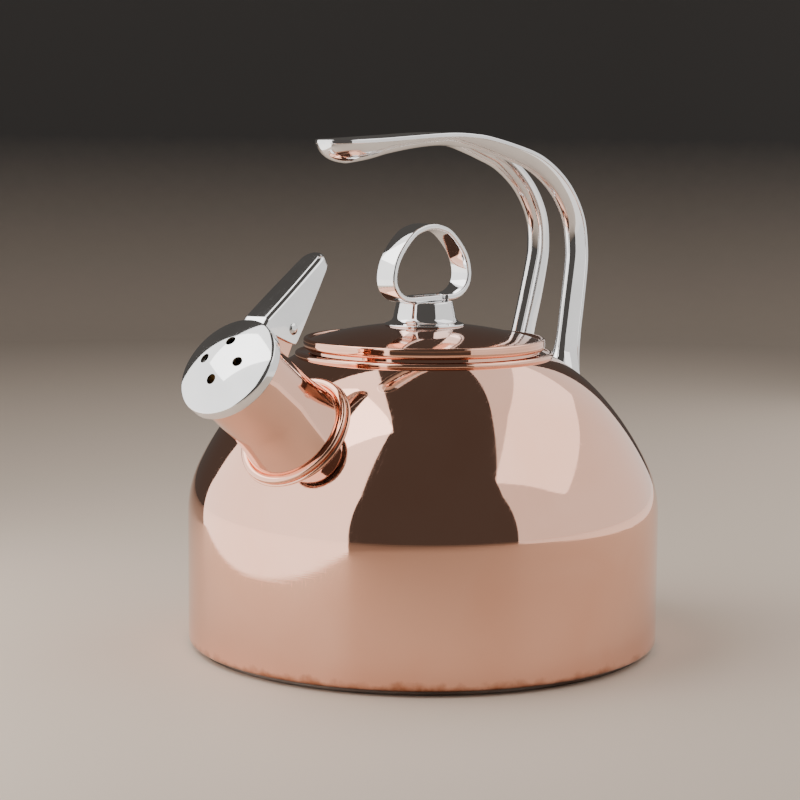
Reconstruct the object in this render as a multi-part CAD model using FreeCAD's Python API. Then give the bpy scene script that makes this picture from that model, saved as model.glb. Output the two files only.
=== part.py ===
"""Copper stove-top whistling kettle: body, spout with a hinged whistle cap, lift-off lid and forked handle.

Frame: origin at the centre of the base on the surface it stands on, +Z up, spout towards -X.
The handle, the lid's loop and the hinge lever lie in the XZ plane. Units are millimetres.
"""
import FreeCAD, Part
import math
import os

V = FreeCAD.Vector

# ---------------------------------------------------------------- driving dimensions
# body
body_r = 95.0             # outer radius of the straight wall
body_wall = 1.2           # copper sheet with its tin lining
wall_top_z = 54.0         # where the straight wall ends
hip_r = 45.0              # first bend above the wall
hip_angle = 26.0          # slope from the vertical where the first bend ends
flank_r = 118.0           # long easy curve of the shoulder
flank_angle = 42.0
shoulder_angle = 62.0     # slope where the shell meets the mouth
mouth_r = 51.6            # outer radius of the shell at the mouth
heel_r = 2.0              # rounded bottom corner of the shell
hem_w = 1.5               # flat hem turned in past the bottom corner

# base
foot_h = 2.0              # height that the base disc holds the shell above the table
fit_gap = 0.05            # seam between pieces that are pressed together
base_inner_t = 1.2        # the disc's step that rests on the hem, inside
base_chamfer = 0.6
groove_inset = 31.5       # shallow ring groove under the base, in from the hem
groove_w = 2.0
groove_d = 0.4

# mouth ring
bead_r = 1.4              # rolled bead at the mouth
neck_inset = 6.6          # clear filling opening inside the mouth's radius
neck_t = 1.2
neck_depth = 6.0          # neck below the bead's centre
neck_rise = 4.3           # neck above the bead's centre, which carries the lid
web_t = 1.2

# lid
lid_seat_gap = 0.3        # lid above the neck's edge when closed
lid_inset = 3.0           # lid's edge inside the mouth's radius
lid_t = 1.1
lid_rise = 6.6            # height of the dome above its rolled edge
lid_roll_r = 1.0          # rolled bead round the lid
lid_side_h = 3.4          # side band below the bead
lid_side_in = 0.4         # how far the side band tucks in
lid_side_t = 0.8
skirt_clearance = 0.4     # between the lid's skirt and the neck
skirt_t = 1.0
skirt_depth = 9.0

# knob
knob_flange_r = 15.9
knob_post_r = 11.4
knob_h = 9.0              # top of the post above the lid's crown
knob_flange_t = 0.8
knob_flare_h = 3.2
knob_top_wall = 3.0       # solid metal above the screw's bore
knob_screw_r = 2.5
knob_screw_clearance = 0.2
knob_screw_slot = 1.0
knob_head_r = 5.0
knob_head_t = 2.6
knob_washer_r = 7.5
knob_washer_t = 1.6
loop_half_w = 24.6        # widest half width of the finger loop
loop_h = 31.0             # loop's height above the post
loop_wide_h = 9.6         # height of its widest point
loop_t = 2.3              # strip thickness
loop_strip_w = 9.4        # strip width
loop_end_gap = 0.5        # between the two strip ends, which lie side by side
loop_end_reach = 8.0      # how far each end runs past the centre

# spout
spout_angle = 37.6        # rise of the spout's axis above the horizontal
spout_drop = 24.6         # collar's centre below the shell's mouth
spout_sink = 4.3          # collar's centre inside the shell's surface
spout_len = 47.4          # collar's plane to the cap's rim plane
spout_tube_r = 17.9       # outer radius at the mouth
spout_flare = 3.7         # how much wider the tube is at the collar
spout_straight = 26.0     # straight length below the cap
spout_wall = 1.0
spout_tail = 2.0          # tube's length below the collar's plane
collar_out = 1.1          # centres of the collar's two beads outside the tube's root
collar_step = 0.5         # the upper bead is this much tighter
collar_bead_r = 1.25
collar_pitch = 2.3        # distance between the two beads

# whistle cap
cap_overhang = 2.7        # cap's radius beyond the tube's
cap_t = 0.8
cap_skirt = 3.9           # skirt below the rim plane
cap_rise = 5.0            # dome above the rim plane
cap_edge_r = 1.2          # rounded edge between dome and skirt
cap_hole_r = 2.0
cap_hole_pcr = 8.3        # circle on which the steam holes lie
cap_holes = 4
cup_r = 11.9              # whistle chamber behind the dome
cup_t = 0.7
cup_depth = 4.2           # bottom of the chamber below the rim plane
cup_port_r = 2.2          # steam's way into the chamber
cup_flange_gap = 0.6      # flange inside the cap's skirt
cup_flange_drop = 1.2     # underside of the flange below the rim plane
seal_t = 1.2
seal_in = 3.4             # seal's inner edge inside the tube's outer radius
seal_out = 0.9            # and its outer edge outside it
seal_gap = 0.3            # seal above the spout's lip when closed
reed_plate_up = 0.4       # underside of the plate above the rim plane
reed_plate_t = 0.8
reed_slot_l = 9.0
reed_slot_w = 2.2
reed_pitch = 6.4
reed_t = 0.25
reed_clearance = 0.2      # round each reed in its slot
reed_root = 2.5           # length of each reed fixed on the plate

# hinge
pin_back = 15.2           # pin's axis behind the rim plane
pin_above_cap = 6.4       # pin's axis above the cap's edge
pin_r = 1.5               # half the pin's thickness
pin_head_r = 2.3
pin_head_t = 0.9
pin_clearance = 0.05      # bracket bore round the pin
lever_half_w = 6.4        # at the hinge
lever_tip_half_w = 5.6
lever_t = 1.0
lever_reach = 41.0        # tip above the cap's edge
lever_top_back = 13.6     # tip behind the rim plane
lever_foot_rise = 2.0     # front end of the lever's top above the cap's edge
lever_foot_back = 1.4
lever_root_in = 1.6       # lever's front edge runs this far inside the cap's edge, cut to the cap's skirt
lever_heel = 6.0          # corner of the cheek behind and below the pin
lever_edge_r = 0.9        # rounded long edges of the lever
ear_clearance = 0.3       # bracket's ears inside the lever's cheeks
ear_t = 1.0
ear_r = 3.6
bracket_front = 4.9       # bracket's front end behind the rim plane
bracket_len = 15.5
bracket_t = 1.0
spring_wire_r = 0.45
spring_turns = 5
spring_clearance = 0.25   # coil round the pin
spring_upper_len = 9.0    # leg that presses on the lever
spring_upper_deg = 42.0   # its direction, from straight up towards the cap
spring_lower_len = 8.55   # leg that rests on the bracket
spring_lower_deg = 41.0   # its direction, from straight down towards the rear
spring_leg_r = 0.4        # legs drawn a little thinner than the coil's wire

# handle
handle_rise = 89.1        # handle's top above the shell's mouth
bar_depth = 5.2           # thickness of the single bar
bar_half_w = 9.6
bar_crown = 0.18          # share of the bar's thickness that is the low crown of its top
tip_inset = 34.0          # thumb end's tip inside the straight wall
thumb_half_w = 11.0       # widest half width of the thumb end
thumb_depth = 9.2         # its deepest section
leg_w = 9.4               # width of one leg across the kettle
foot_inset = 22.2         # centre of each foot inside the straight wall
foot_y = 15.6
flare_r = 13.8            # trumpet-shaped foot on the shoulder
handle_screw_r = 2.4
shell_hole_clearance = 0.3
handle_screw_len = 8.0    # thread inside the foot
thread_end_gap = 0.5      # bore past the screw's end
screw_head_r = 4.2
screw_head_t = 2.4
washer_r = 5.4
washer_t = 1.0
gasket_r = 6.4
gasket_t = 1.4

# ---------------------------------------------------------------- sizes that follow
neck_r = mouth_r - neck_inset
lid_r = mouth_r - lid_inset
hem_r = body_r - heel_r - hem_w
spout_root_r = spout_tube_r + spout_flare
collar_r = spout_root_r + collar_out
cap_r = spout_tube_r + cap_overhang
cap_lip_gap = cup_flange_drop + seal_t + seal_gap
pin_up = cap_r + pin_above_cap
lever_top_h = cap_r + lever_reach
lever_foot_h = cap_r + lever_foot_rise
foot_x = body_r - foot_inset
tip_x = -(body_r - tip_inset)


# ---------------------------------------------------------------- helpers
def rad(degrees):
    return math.radians(degrees)


def arc_edge(cx, cz, radius, start_deg, end_deg):
    """A true arc edge in the XZ plane."""
    mid = 0.5 * (start_deg + end_deg)
    angles = [rad(t) for t in (start_deg, mid, end_deg)]
    points = [V(cx + radius * math.cos(t), 0, cz + radius * math.sin(t)) for t in angles]
    return Part.Arc(*points).toShape()


def line_edge(a, b):
    return Part.LineSegment(V(a[0], 0, a[1]), V(b[0], 0, b[1])).toShape()


def end_of(edge, last=True):
    """(r, z) of an edge's start or end, in the sense in which it was drawn."""
    p = edge.valueAt(edge.LastParameter if last else edge.FirstParameter)
    return (p.x, p.z)


def revolve(edges):
    """Solid of revolution about Z from a closed chain of XZ edges."""
    face = Part.Face(Part.Wire(Part.__sortEdges__(edges)))
    solid = face.revolve(V(0, 0, 0), V(0, 0, 1), 360)
    if solid.Volume < 0:
        solid.reverse()
    return solid


def revolve_points(points):
    """Solid of revolution from a closed (r, z) polygon."""
    chain = [V(r, 0, z) for r, z in points]
    face = Part.Face(Part.makePolygon(chain + chain[:1]))
    solid = face.revolve(V(0, 0, 0), V(0, 0, 1), 360)
    if solid.Volume < 0:
        solid.reverse()
    return solid


def cylinder(radius, height, z=0.0):
    return Part.makeCylinder(radius, height, V(0, 0, z), V(0, 0, 1))


def ring(r_out, r_in, height, z=0.0):
    return cylinder(r_out, height, z).cut(cylinder(r_in, height, z))


def torus(ring_radius, tube_radius, z):
    return Part.makeTorus(ring_radius, tube_radius, V(0, 0, z), V(0, 0, 1))


def one_solid(shape):
    """The largest solid of a boolean result, cleaned of seams."""
    clean = shape.removeSplitter()
    return max(clean.Solids, key=lambda s: s.Volume)


def save(name, shape):
    shape.exportStep("parts/%s.step" % name)


# ---------------------------------------------------------------- body profile
def shoulder_arcs(inset):
    """Hip, flank and shoulder arcs, inset from the outside: centre r and z, radius, start and end degrees."""
    arcs = []
    r, z = body_r, wall_top_z
    start = 0.0
    for radius, end in ((hip_r, hip_angle), (flank_r, flank_angle)):
        cr = r - radius * math.cos(rad(start))
        cz = z - radius * math.sin(rad(start))
        arcs.append((cr, cz, radius - inset, start, end))
        r = cr + radius * math.cos(rad(end))
        z = cz + radius * math.sin(rad(end))
        start = end
    radius = (r - mouth_r) / (math.cos(rad(start)) - math.cos(rad(shoulder_angle)))
    cr = r - radius * math.cos(rad(start))
    cz = z - radius * math.sin(rad(start))
    arcs.append((cr, cz, radius - inset, start, shoulder_angle))
    return arcs


def shell_radius_at(z):
    """Outer radius of the shell at a height on the shoulder."""
    if z <= wall_top_z:
        return body_r
    for cr, cz, radius, start, end in shoulder_arcs(0.0):
        if z <= cz + radius * math.sin(rad(end)):
            return cr + math.sqrt(radius ** 2 - (z - cz) ** 2)
    return mouth_r


def shell_point_at(r):
    """Height and outward slope angle of the shell's outside at a radius on the shoulder."""
    for cr, cz, radius, start, end in shoulder_arcs(0.0):
        if r >= cr + radius * math.cos(rad(end)) - 1e-6:
            t = math.acos((r - cr) / radius)
            return cz + radius * math.sin(t), math.degrees(t)
    return mouth_z, shoulder_angle


last = shoulder_arcs(0.0)[-1]
mouth_z = last[1] + last[2] * math.sin(rad(shoulder_angle))


def shell_outline(inset, bottom_z):
    """Open chain of edges up the shell, from the heel to the mouth."""
    r = body_r - inset
    edges = [line_edge((r, bottom_z), (r, wall_top_z))]
    for cr, cz, radius, start, end in shoulder_arcs(inset):
        edges.append(arc_edge(cr, cz, radius, start, end))
    return edges


def body_envelope():
    """Everything inside the shell's outer surface, closed flat at the mouth."""
    edges = shell_outline(0.0, foot_h)
    top = end_of(edges[-1])
    edges.append(line_edge(top, (0, top[1])))
    edges.append(line_edge((0, top[1]), (0, foot_h)))
    edges.append(line_edge((0, foot_h), (body_r, foot_h)))
    return revolve(edges)


def make_body_shell(mouth_ring, spout_plug, screw_holes):
    heel_z = foot_h + heel_r
    outer = shell_outline(0.0, heel_z)
    inner = shell_outline(body_wall, heel_z)
    heel_c = body_r - heel_r
    edges = outer + inner
    edges.append(line_edge(end_of(outer[-1]), end_of(inner[-1])))
    edges.append(arc_edge(heel_c, heel_z, heel_r, -90, 0))
    edges.append(arc_edge(heel_c, heel_z, heel_r - body_wall, -90, 0))
    edges.append(line_edge((heel_c, foot_h), (hem_r, foot_h)))
    edges.append(line_edge((hem_r, foot_h), (hem_r, foot_h + body_wall)))
    edges.append(line_edge((hem_r, foot_h + body_wall), (heel_c, foot_h + body_wall)))
    shell = revolve(edges)
    shell = shell.cut(mouth_ring)
    shell = shell.cut(spout_plug)
    for hole in screw_holes:
        shell = shell.cut(hole)
    return one_solid(shell)


def make_base_plate():
    lower_r = hem_r - fit_gap
    step_z = foot_h + body_wall
    upper_r = body_r - heel_r - fit_gap
    groove_r = hem_r - groove_inset
    disc = revolve_points([
        (0, 0),
        (lower_r - base_chamfer, 0),
        (lower_r, base_chamfer),
        (lower_r, step_z),
        (upper_r, step_z),
        (upper_r, step_z + base_inner_t),
        (0, step_z + base_inner_t),
    ])
    return disc.cut(ring(groove_r + groove_w, groove_r, groove_d))


bead_c_r = mouth_r - 0.5 * bead_r
bead_c_z = mouth_z + 0.55 * bead_r
neck_top_z = bead_c_z + neck_rise


def make_mouth_ring():
    bead = torus(bead_c_r, bead_r, bead_c_z)
    neck = ring(neck_r + neck_t, neck_r, neck_depth + neck_rise, bead_c_z - neck_depth)
    web = ring(bead_c_r, neck_r, web_t, bead_c_z - 0.5 * web_t)
    return one_solid(bead.fuse(neck).fuse(web))


# ---------------------------------------------------------------- lid
lid_under_z = neck_top_z + lid_seat_gap         # underside of the dome above the neck
dome_edge_r = lid_r - 2 * lid_roll_r
dome_r = (dome_edge_r ** 2 + lid_rise ** 2) / (2 * lid_rise)
seat_r = neck_r + neck_t
dome_c_z = lid_under_z - math.sqrt((dome_r - lid_t) ** 2 - seat_r ** 2)
crown_z = dome_c_z + dome_r
lid_edge_z = dome_c_z + math.sqrt(dome_r ** 2 - dome_edge_r ** 2)


def make_lid_dome():
    outer = Part.makeSphere(dome_r, V(0, 0, dome_c_z))
    inner = Part.makeSphere(dome_r - lid_t, V(0, 0, dome_c_z))
    slab = cylinder(dome_edge_r + 0.5, lid_rise + 10, lid_edge_z - 3)
    dome = outer.cut(inner).common(slab)
    bead = torus(lid_r - lid_roll_r, lid_roll_r, lid_edge_z)
    top = lid_edge_z
    side = revolve_points([(lid_r - lid_roll_r, top), (lid_r, top), (lid_r - lid_side_in, top - lid_side_h),
                           (lid_r - lid_side_in - lid_side_t, top - lid_side_h)])
    shape = dome.fuse(bead).fuse(side)
    return one_solid(shape.cut(cylinder(knob_screw_r + knob_screw_clearance, 40, lid_edge_z)))


def make_lid_skirt():
    r_out = neck_r - skirt_clearance
    bottom = neck_top_z - skirt_depth
    tube = ring(r_out, r_out - skirt_t, 2 * skirt_depth + 10, bottom)
    return one_solid(tube.common(Part.makeSphere(dome_r - lid_t, V(0, 0, dome_c_z))))


def make_knob_base():
    top = crown_z + knob_h
    rim = crown_z - (dome_r - math.sqrt(dome_r ** 2 - knob_flange_r ** 2)) + knob_flange_t
    neck_z = rim + knob_flare_h
    hollow = V(knob_post_r + 0.34 * knob_flare_h, 0, rim + 0.24 * knob_flare_h)
    flare = Part.Arc(V(knob_post_r, 0, neck_z), hollow, V(knob_flange_r, 0, rim)).toShape()
    low = crown_z - knob_flare_h
    edges = [
        line_edge((0, low), (knob_flange_r, low)),
        line_edge((knob_flange_r, low), (knob_flange_r, rim)),
        flare,
        line_edge((knob_post_r, neck_z), (knob_post_r, top)),
        line_edge((knob_post_r, top), (0, top)),
        line_edge((0, top), (0, low)),
    ]
    base = revolve(edges)
    base = base.cut(Part.makeSphere(dome_r, V(0, 0, dome_c_z)))
    return one_solid(base.cut(cylinder(knob_screw_r + fit_gap, top - knob_top_wall - low, low)))


seat_z = crown_z - lid_t - knob_washer_t        # underside of the washer, where the screw's head bears


def make_knob_screw():
    head_z = seat_z - knob_head_t
    head = cylinder(knob_head_r, knob_head_t, head_z)
    shank = cylinder(knob_screw_r, crown_z + knob_h - knob_top_wall - thread_end_gap - head_z, head_z)
    slot_l = 2 * knob_head_r + knob_screw_slot
    corner = V(-slot_l / 2, -knob_screw_slot / 2, head_z)
    slot = Part.makeBox(slot_l, knob_screw_slot, knob_screw_slot, corner)
    return one_solid(head.fuse(shank).cut(slot))


def make_knob_washer():
    washer = ring(knob_washer_r, knob_screw_r + knob_screw_clearance, 2 * knob_washer_t, seat_z)
    return one_solid(washer.common(Part.makeSphere(dome_r - lid_t, V(0, 0, dome_c_z))))


def loop_outline(inset):
    """Closed rounded-triangle outline of the finger loop in XZ, flat on the post, inset from the outside."""
    w = loop_half_w - inset
    bottom = crown_z + knob_h + inset
    top = crown_z + knob_h + loop_h - inset
    wide = crown_z + knob_h + loop_wide_h
    side = [
        V(0.58 * w, 0, bottom),
        V(0.88 * w, 0, bottom + 0.34 * (wide - bottom)),
        V(w, 0, wide),
        V(0.90 * w, 0, wide + 0.42 * (top - wide)),
        V(0.56 * w, 0, wide + 0.83 * (top - wide)),
    ]
    other = [V(-p.x, 0, p.z) for p in reversed(side)]
    curve = Part.BSplineCurve()
    curve.interpolate(side + [V(0, 0, top)] + other)
    return Part.Wire([curve.toShape(), Part.makeLine(other[-1], side[0])])


def make_knob_loop():
    """A strip bent into a loop whose two ends lie side by side on the post."""
    across = V(0, loop_strip_w, 0)
    outside, inside = [Part.Face(loop_outline(inset)).extrude(across) for inset in (0.0, loop_t)]
    strip = outside.cut(inside)
    strip.translate(across * -0.5)
    corner = V(-loop_end_reach, -loop_end_gap / 2, crown_z + knob_h - loop_t / 2)
    slit = Part.makeBox(2 * loop_end_reach, loop_end_gap, 2 * loop_t, corner)
    return one_solid(strip.cut(slit))


# ---------------------------------------------------------------- spout frame
spout_root_z = mouth_z - spout_drop
spout_root_x = -(shell_radius_at(spout_root_z) - spout_sink)


def to_spout(shape, along):
    """Move a shape drawn about +Z from the origin to the spout's axis, 'along' mm past the collar's plane."""
    turned = shape.copy()
    turned.rotate(V(0, 0, 0), V(0, 1, 0), -(90 - spout_angle))
    axis = V(-math.cos(rad(spout_angle)), 0, math.sin(rad(spout_angle)))
    turned.translate(V(spout_root_x, 0, spout_root_z) + axis * along)
    return turned


def spout_flare_edge(inset):
    """Concave flare at the foot of the tube."""
    straight_from = spout_len - spout_straight
    sweep_r = (straight_from ** 2 + spout_flare ** 2) / (2 * spout_flare)
    end_deg = 180 - math.degrees(math.asin(straight_from / sweep_r))
    return arc_edge(spout_tube_r + sweep_r, straight_from, sweep_r + inset, -end_deg, -180)


def make_spout_solid(inset, tail):
    """Solid of the tube's outside (inset 0) or its bore, drawn about +Z."""
    lip = spout_len - cap_lip_gap
    flare = spout_flare_edge(inset)
    low, high = sorted((end_of(flare, last=False), end_of(flare)), key=lambda point: point[1])
    edges = [
        flare,
        line_edge(high, (high[0], lip)),
        line_edge((high[0], lip), (0, lip)),
        line_edge((0, lip), (0, -tail)),
        line_edge((0, -tail), (low[0], -tail)),
        line_edge((low[0], -tail), low),
    ]
    return revolve(edges)


def make_spout_tube():
    tube = make_spout_solid(0.0, spout_tail).cut(make_spout_solid(spout_wall, spout_tail))
    return to_spout(one_solid(tube), 0.0)


def make_spout_collar(envelope, spout_plug):
    """Two rolled beads on a short sleeve, scribed to the shoulder."""
    low_z = -2 * collar_pitch
    mid_z = 0.7 * collar_pitch
    top_z = mid_z + collar_pitch
    low_r = collar_r
    top_r = collar_r - collar_step
    inner_r = spout_root_r - collar_pitch
    swell = collar_bead_r
    beads = [
        line_edge((low_r, low_z), (low_r, mid_z - collar_pitch)),
        Part.Arc(V(low_r, 0, mid_z - collar_pitch), V(low_r + swell, 0, mid_z - collar_pitch / 2),
                 V(low_r, 0, mid_z)).toShape(),
        line_edge((low_r, mid_z), (top_r, mid_z)),
        Part.Arc(V(top_r, 0, mid_z), V(top_r + swell, 0, mid_z + collar_pitch / 2),
                 V(top_r, 0, top_z)).toShape(),
        line_edge((top_r, top_z), (inner_r, top_z)),
        line_edge((inner_r, top_z), (inner_r, low_z)),
        line_edge((inner_r, low_z), (low_r, low_z)),
    ]
    collar = to_spout(revolve(beads), 0.0)
    return one_solid(collar.cut(spout_plug).cut(envelope))


# ---------------------------------------------------------------- whistle cap
def cap_solid(inset):
    """Domed drum of the cap's outside (inset 0) or inside, drawn about +Z with the rim plane at z = 0."""
    sphere_r = (cap_r ** 2 + cap_rise ** 2) / (2 * cap_rise)
    drum = cylinder(cap_r - inset, cap_skirt + cap_rise + 1, -cap_skirt)
    dome = Part.makeSphere(sphere_r - inset, V(0, 0, cap_rise - sphere_r))
    return drum.common(dome)


def rounded_cap_solid():
    """Outside of the cap with its rounded edge."""
    outer = cap_solid(0.0)
    rim = [e for e in outer.Edges if e.BoundBox.ZLength < 0.01 and abs(e.BoundBox.ZMin) < 0.5]
    return outer.makeFillet(cap_edge_r, rim[:1])


def make_whistle_cap():
    cap = rounded_cap_solid().cut(cap_solid(cap_t))
    for i in range(cap_holes):
        t = rad(360.0 * i / cap_holes)
        hole = cylinder(cap_hole_r, cap_skirt + 2 * cap_rise, -cap_skirt)
        hole.translate(V(cap_hole_pcr * math.cos(t), cap_hole_pcr * math.sin(t), 0))
        cap = cap.cut(hole)
    return one_solid(cap)


def make_whistle_cup():
    """Chamber behind the dome, with a flange that carries the seal."""
    wall = ring(cup_r, cup_r - cup_t, cup_depth + 2 * cap_rise, -cup_depth)
    wall = wall.common(cap_solid(cap_t))
    floor = ring(cup_r, cup_port_r, cup_t, -cup_depth)
    flange = ring(cap_r - cap_t - cup_flange_gap, cup_r - cup_t, cup_t, -cup_flange_drop)
    return one_solid(wall.fuse(floor).fuse(flange))


def make_cap_seal():
    return ring(spout_tube_r + seal_out, spout_tube_r - seal_in, seal_t, -cup_flange_drop - seal_t)


def make_reed_plate():
    plate = cylinder(cup_r - cup_t, reed_plate_t, reed_plate_up)
    for side in (-1, 1):
        corner = V(side * reed_pitch / 2 - reed_slot_w / 2, -reed_slot_l / 2, reed_plate_up)
        plate = plate.cut(Part.makeBox(reed_slot_w, reed_slot_l, reed_plate_t, corner))
    return one_solid(plate)


def make_reeds():
    """Two thin tongues, each fixed at one end on the plate and free over its slot."""
    tongues = []
    width = reed_slot_w - 2 * reed_clearance
    top = reed_plate_up + reed_plate_t
    for side in (-1, 1):
        corner = V(side * reed_pitch / 2 - width / 2, -reed_slot_l / 2 - reed_root, top)
        tongues.append(Part.makeBox(width, reed_slot_l + reed_root - reed_clearance, reed_t, corner))
    return Part.makeCompound(tongues)


# ---------------------------------------------------------------- hinge, drawn in the spout frame
# Drawn with +Z along the spout's axis and +X up and back from it; the rim plane is z = 0.
def lever_side(inset, half_w):
    """Side outline of the lever pushed out to its width, whole or drawn in by the sheet's thickness."""
    foot = V(lever_foot_h, 0, -lever_foot_back - inset)
    tip = V(lever_top_h - inset, 0, -lever_top_back - inset)
    tip_low = V(lever_top_h - lever_tip_half_w + inset, 0, -lever_top_back - 2.6 - 3 * inset)
    heel = V(pin_up - 0.65 * lever_heel - 6 * inset, 0, -pin_back - 0.77 * lever_heel - 8 * inset)
    toe = V(cap_r - lever_root_in - 6 * inset, 0, -cap_skirt - 0.6 - inset)
    root = V(toe.x, 0, foot.z)
    outline = [foot, tip, tip_low, heel, toe, root]
    solid = Part.Face(Part.makePolygon(outline + outline[:1])).extrude(V(0, 2 * half_w, 0))
    solid.translate(V(0, -half_w, 0))
    return solid


def lever_plan(inset):
    """Plan of the lever seen along the spout's axis, with a rounded tip, as a tall prism."""
    half_foot = lever_half_w - inset
    half_tip = lever_tip_half_w - inset
    x0 = cap_r - 4
    x1 = lever_top_h - lever_tip_half_w
    knee = pin_up + 4
    side = [V(x0, -half_foot, 0), V(knee, -half_foot, 0), V(x1, -half_tip, 0)]
    other = [V(p.x, -p.y, 0) for p in reversed(side)]
    edges = [Part.makeLine(side[0], side[1]), Part.makeLine(side[1], side[2])]
    edges.append(Part.Arc(side[2], V(x1 + half_tip, 0, 0), other[0]).toShape())
    edges += [Part.makeLine(other[0], other[1]), Part.makeLine(other[1], other[2])]
    edges.append(Part.makeLine(other[2], side[0]))
    prism = Part.Face(Part.Wire(edges)).extrude(V(0, 0, 3 * pin_back))
    prism.translate(V(0, 0, -2.8 * pin_back))
    return prism


def make_cap_lever(cap_outside):
    """Inverted channel: a top web and two cheeks, tapering to a rounded tip, over the cap's edge."""
    outer = lever_side(0.0, lever_half_w).common(lever_plan(0.0))
    hollow = lever_side(lever_t, lever_half_w).common(lever_plan(lever_t))
    lever = one_solid(outer.cut(hollow).cut(cap_outside))
    length = 4 * lever_half_w
    bore = Part.makeCylinder(pin_r, length, V(pin_up, -length / 2, -pin_back), V(0, 1, 0))
    return one_solid(lever.cut(bore))


def make_hinge_pin():
    half = lever_half_w
    pin = Part.makeCylinder(pin_r, 2 * half, V(pin_up, -half, -pin_back), V(0, 1, 0))
    for side in (-1, 1):
        dome_r_pin = (pin_head_r ** 2 + pin_head_t ** 2) / (2 * pin_head_t)
        centre = V(pin_up, side * (half + pin_head_t - dome_r_pin), -pin_back)
        ball = Part.makeSphere(dome_r_pin, centre)
        drum = Part.makeCylinder(pin_head_r, pin_head_t, V(pin_up, side * half, -pin_back), V(0, side, 0))
        pin = pin.fuse(ball.common(drum))
    return one_solid(pin)


ear_out = lever_half_w - lever_t - ear_clearance


def make_hinge_bracket(spout_plug_local):
    """Saddle on the spout with two ears that carry the pin."""
    saddle_ring = ring(spout_tube_r + bracket_t, spout_tube_r, bracket_len, -bracket_front - bracket_len)
    corner = V(0, -ear_out, -bracket_front - bracket_len)
    strip = Part.makeBox(2 * spout_tube_r, 2 * ear_out, bracket_len, corner)
    ear_low = math.sqrt(spout_tube_r ** 2 - ear_out ** 2)
    bracket = saddle_ring.common(strip)
    for side in (-1, 1):
        y = side * ear_out if side < 0 else ear_out - ear_t
        outline = [
            V(ear_low, y, -bracket_front),
            V(ear_low, y, -bracket_front - bracket_len),
            V(pin_up, y, -pin_back - ear_r),
            V(pin_up, y, -pin_back + ear_r),
        ]
        ear = Part.Face(Part.makePolygon(outline + outline[:1])).extrude(V(0, ear_t, 0))
        disc = Part.makeCylinder(ear_r, ear_t, V(pin_up, y, -pin_back), V(0, 1, 0))
        bracket = bracket.fuse(ear).fuse(disc)
    bore_start = V(pin_up, -2 * ear_out, -pin_back)
    bore = Part.makeCylinder(pin_r + pin_clearance, 4 * ear_out, bore_start, V(0, 1, 0))
    bracket = bracket.cut(bore).cut(spout_plug_local)
    return one_solid(bracket)


def make_hinge_spring():
    """Torsion coil round the pin, drawn as touching turns with two straight legs."""
    mean = pin_r + spring_clearance + spring_wire_r
    width = 2 * spring_wire_r * spring_turns
    axis = V(0, 1, 0)
    side = V(pin_up, -width / 2, -pin_back)
    spring = Part.makeCylinder(mean + spring_wire_r, width, side, axis)
    spring = spring.cut(Part.makeCylinder(mean - spring_wire_r, width, side, axis))
    legs = ((1, spring_upper_len, spring_upper_deg), (-1, spring_lower_len, spring_lower_deg))
    for sign, leg_l, leg_deg in legs:
        along = V(math.cos(rad(leg_deg)), 0, math.sin(rad(leg_deg))) * sign
        out = V(-math.sin(rad(leg_deg)), 0, math.cos(rad(leg_deg))) * mean
        start = V(pin_up, sign * (width / 2 - spring_wire_r), -pin_back) + out
        spring = spring.fuse(Part.makeCylinder(spring_leg_r, leg_l, start, along))
    return one_solid(spring)


# ---------------------------------------------------------------- handle
apex_z = mouth_z + handle_rise


def closed_section(points):
    curve = Part.BSplineCurve()
    curve.interpolate(points, PeriodicFlag=True)
    return Part.Wire(curve.toShape())


def bar_section(x, top, half_w, depth):
    """Section with a nearly flat top and a round keel, across the kettle at x."""
    points = []
    for i in range(12):
        t = rad(30.0 * i)
        rise = math.sin(t)
        height = bar_crown * depth * rise if rise > 0 else (1.0 - bar_crown) * depth * rise
        points.append(V(x, half_w * math.cos(t), top - bar_crown * depth + height))
    return closed_section(points)


def oval_section(centre, tilt_deg, half_w, half_t):
    """Oval section of the leg, square to a direction tilted from the vertical towards -X."""
    across = V(math.cos(rad(tilt_deg)), 0, -math.sin(rad(tilt_deg)))
    points = []
    for i in range(12):
        t = rad(30.0 * i)
        points.append(centre + V(0, half_w * math.cos(t), 0) + across * (half_t * math.sin(t)))
    return closed_section(points)


def make_bar():
    """Single bar with its boat-shaped thumb end."""
    # distance from the tip, drop below the highest point, half width, depth
    stations = (
        (0.0, 2.9, 2.6, 2.0),
        (3.0, 2.8, 0.60 * thumb_half_w, 0.54 * thumb_depth),
        (8.0, 2.6, 0.87 * thumb_half_w, 0.89 * thumb_depth),
        (14.0, 2.4, 0.98 * thumb_half_w, thumb_depth),
        (24.0, 2.0, thumb_half_w, 0.91 * thumb_depth),
        (34.0, 1.5, 0.95 * thumb_half_w, 0.76 * thumb_depth),
        (48.0, 0.8, bar_half_w, bar_depth + 0.6),
        (60.0, 0.2, bar_half_w, bar_depth + 0.1),
        (72.0, 0.0, bar_half_w, bar_depth),
    )
    wires = [bar_section(tip_x + x, apex_z - drop, half_w, depth) for x, drop, half_w, depth in stations]
    return Part.makeLoft(wires, True, False)


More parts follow.
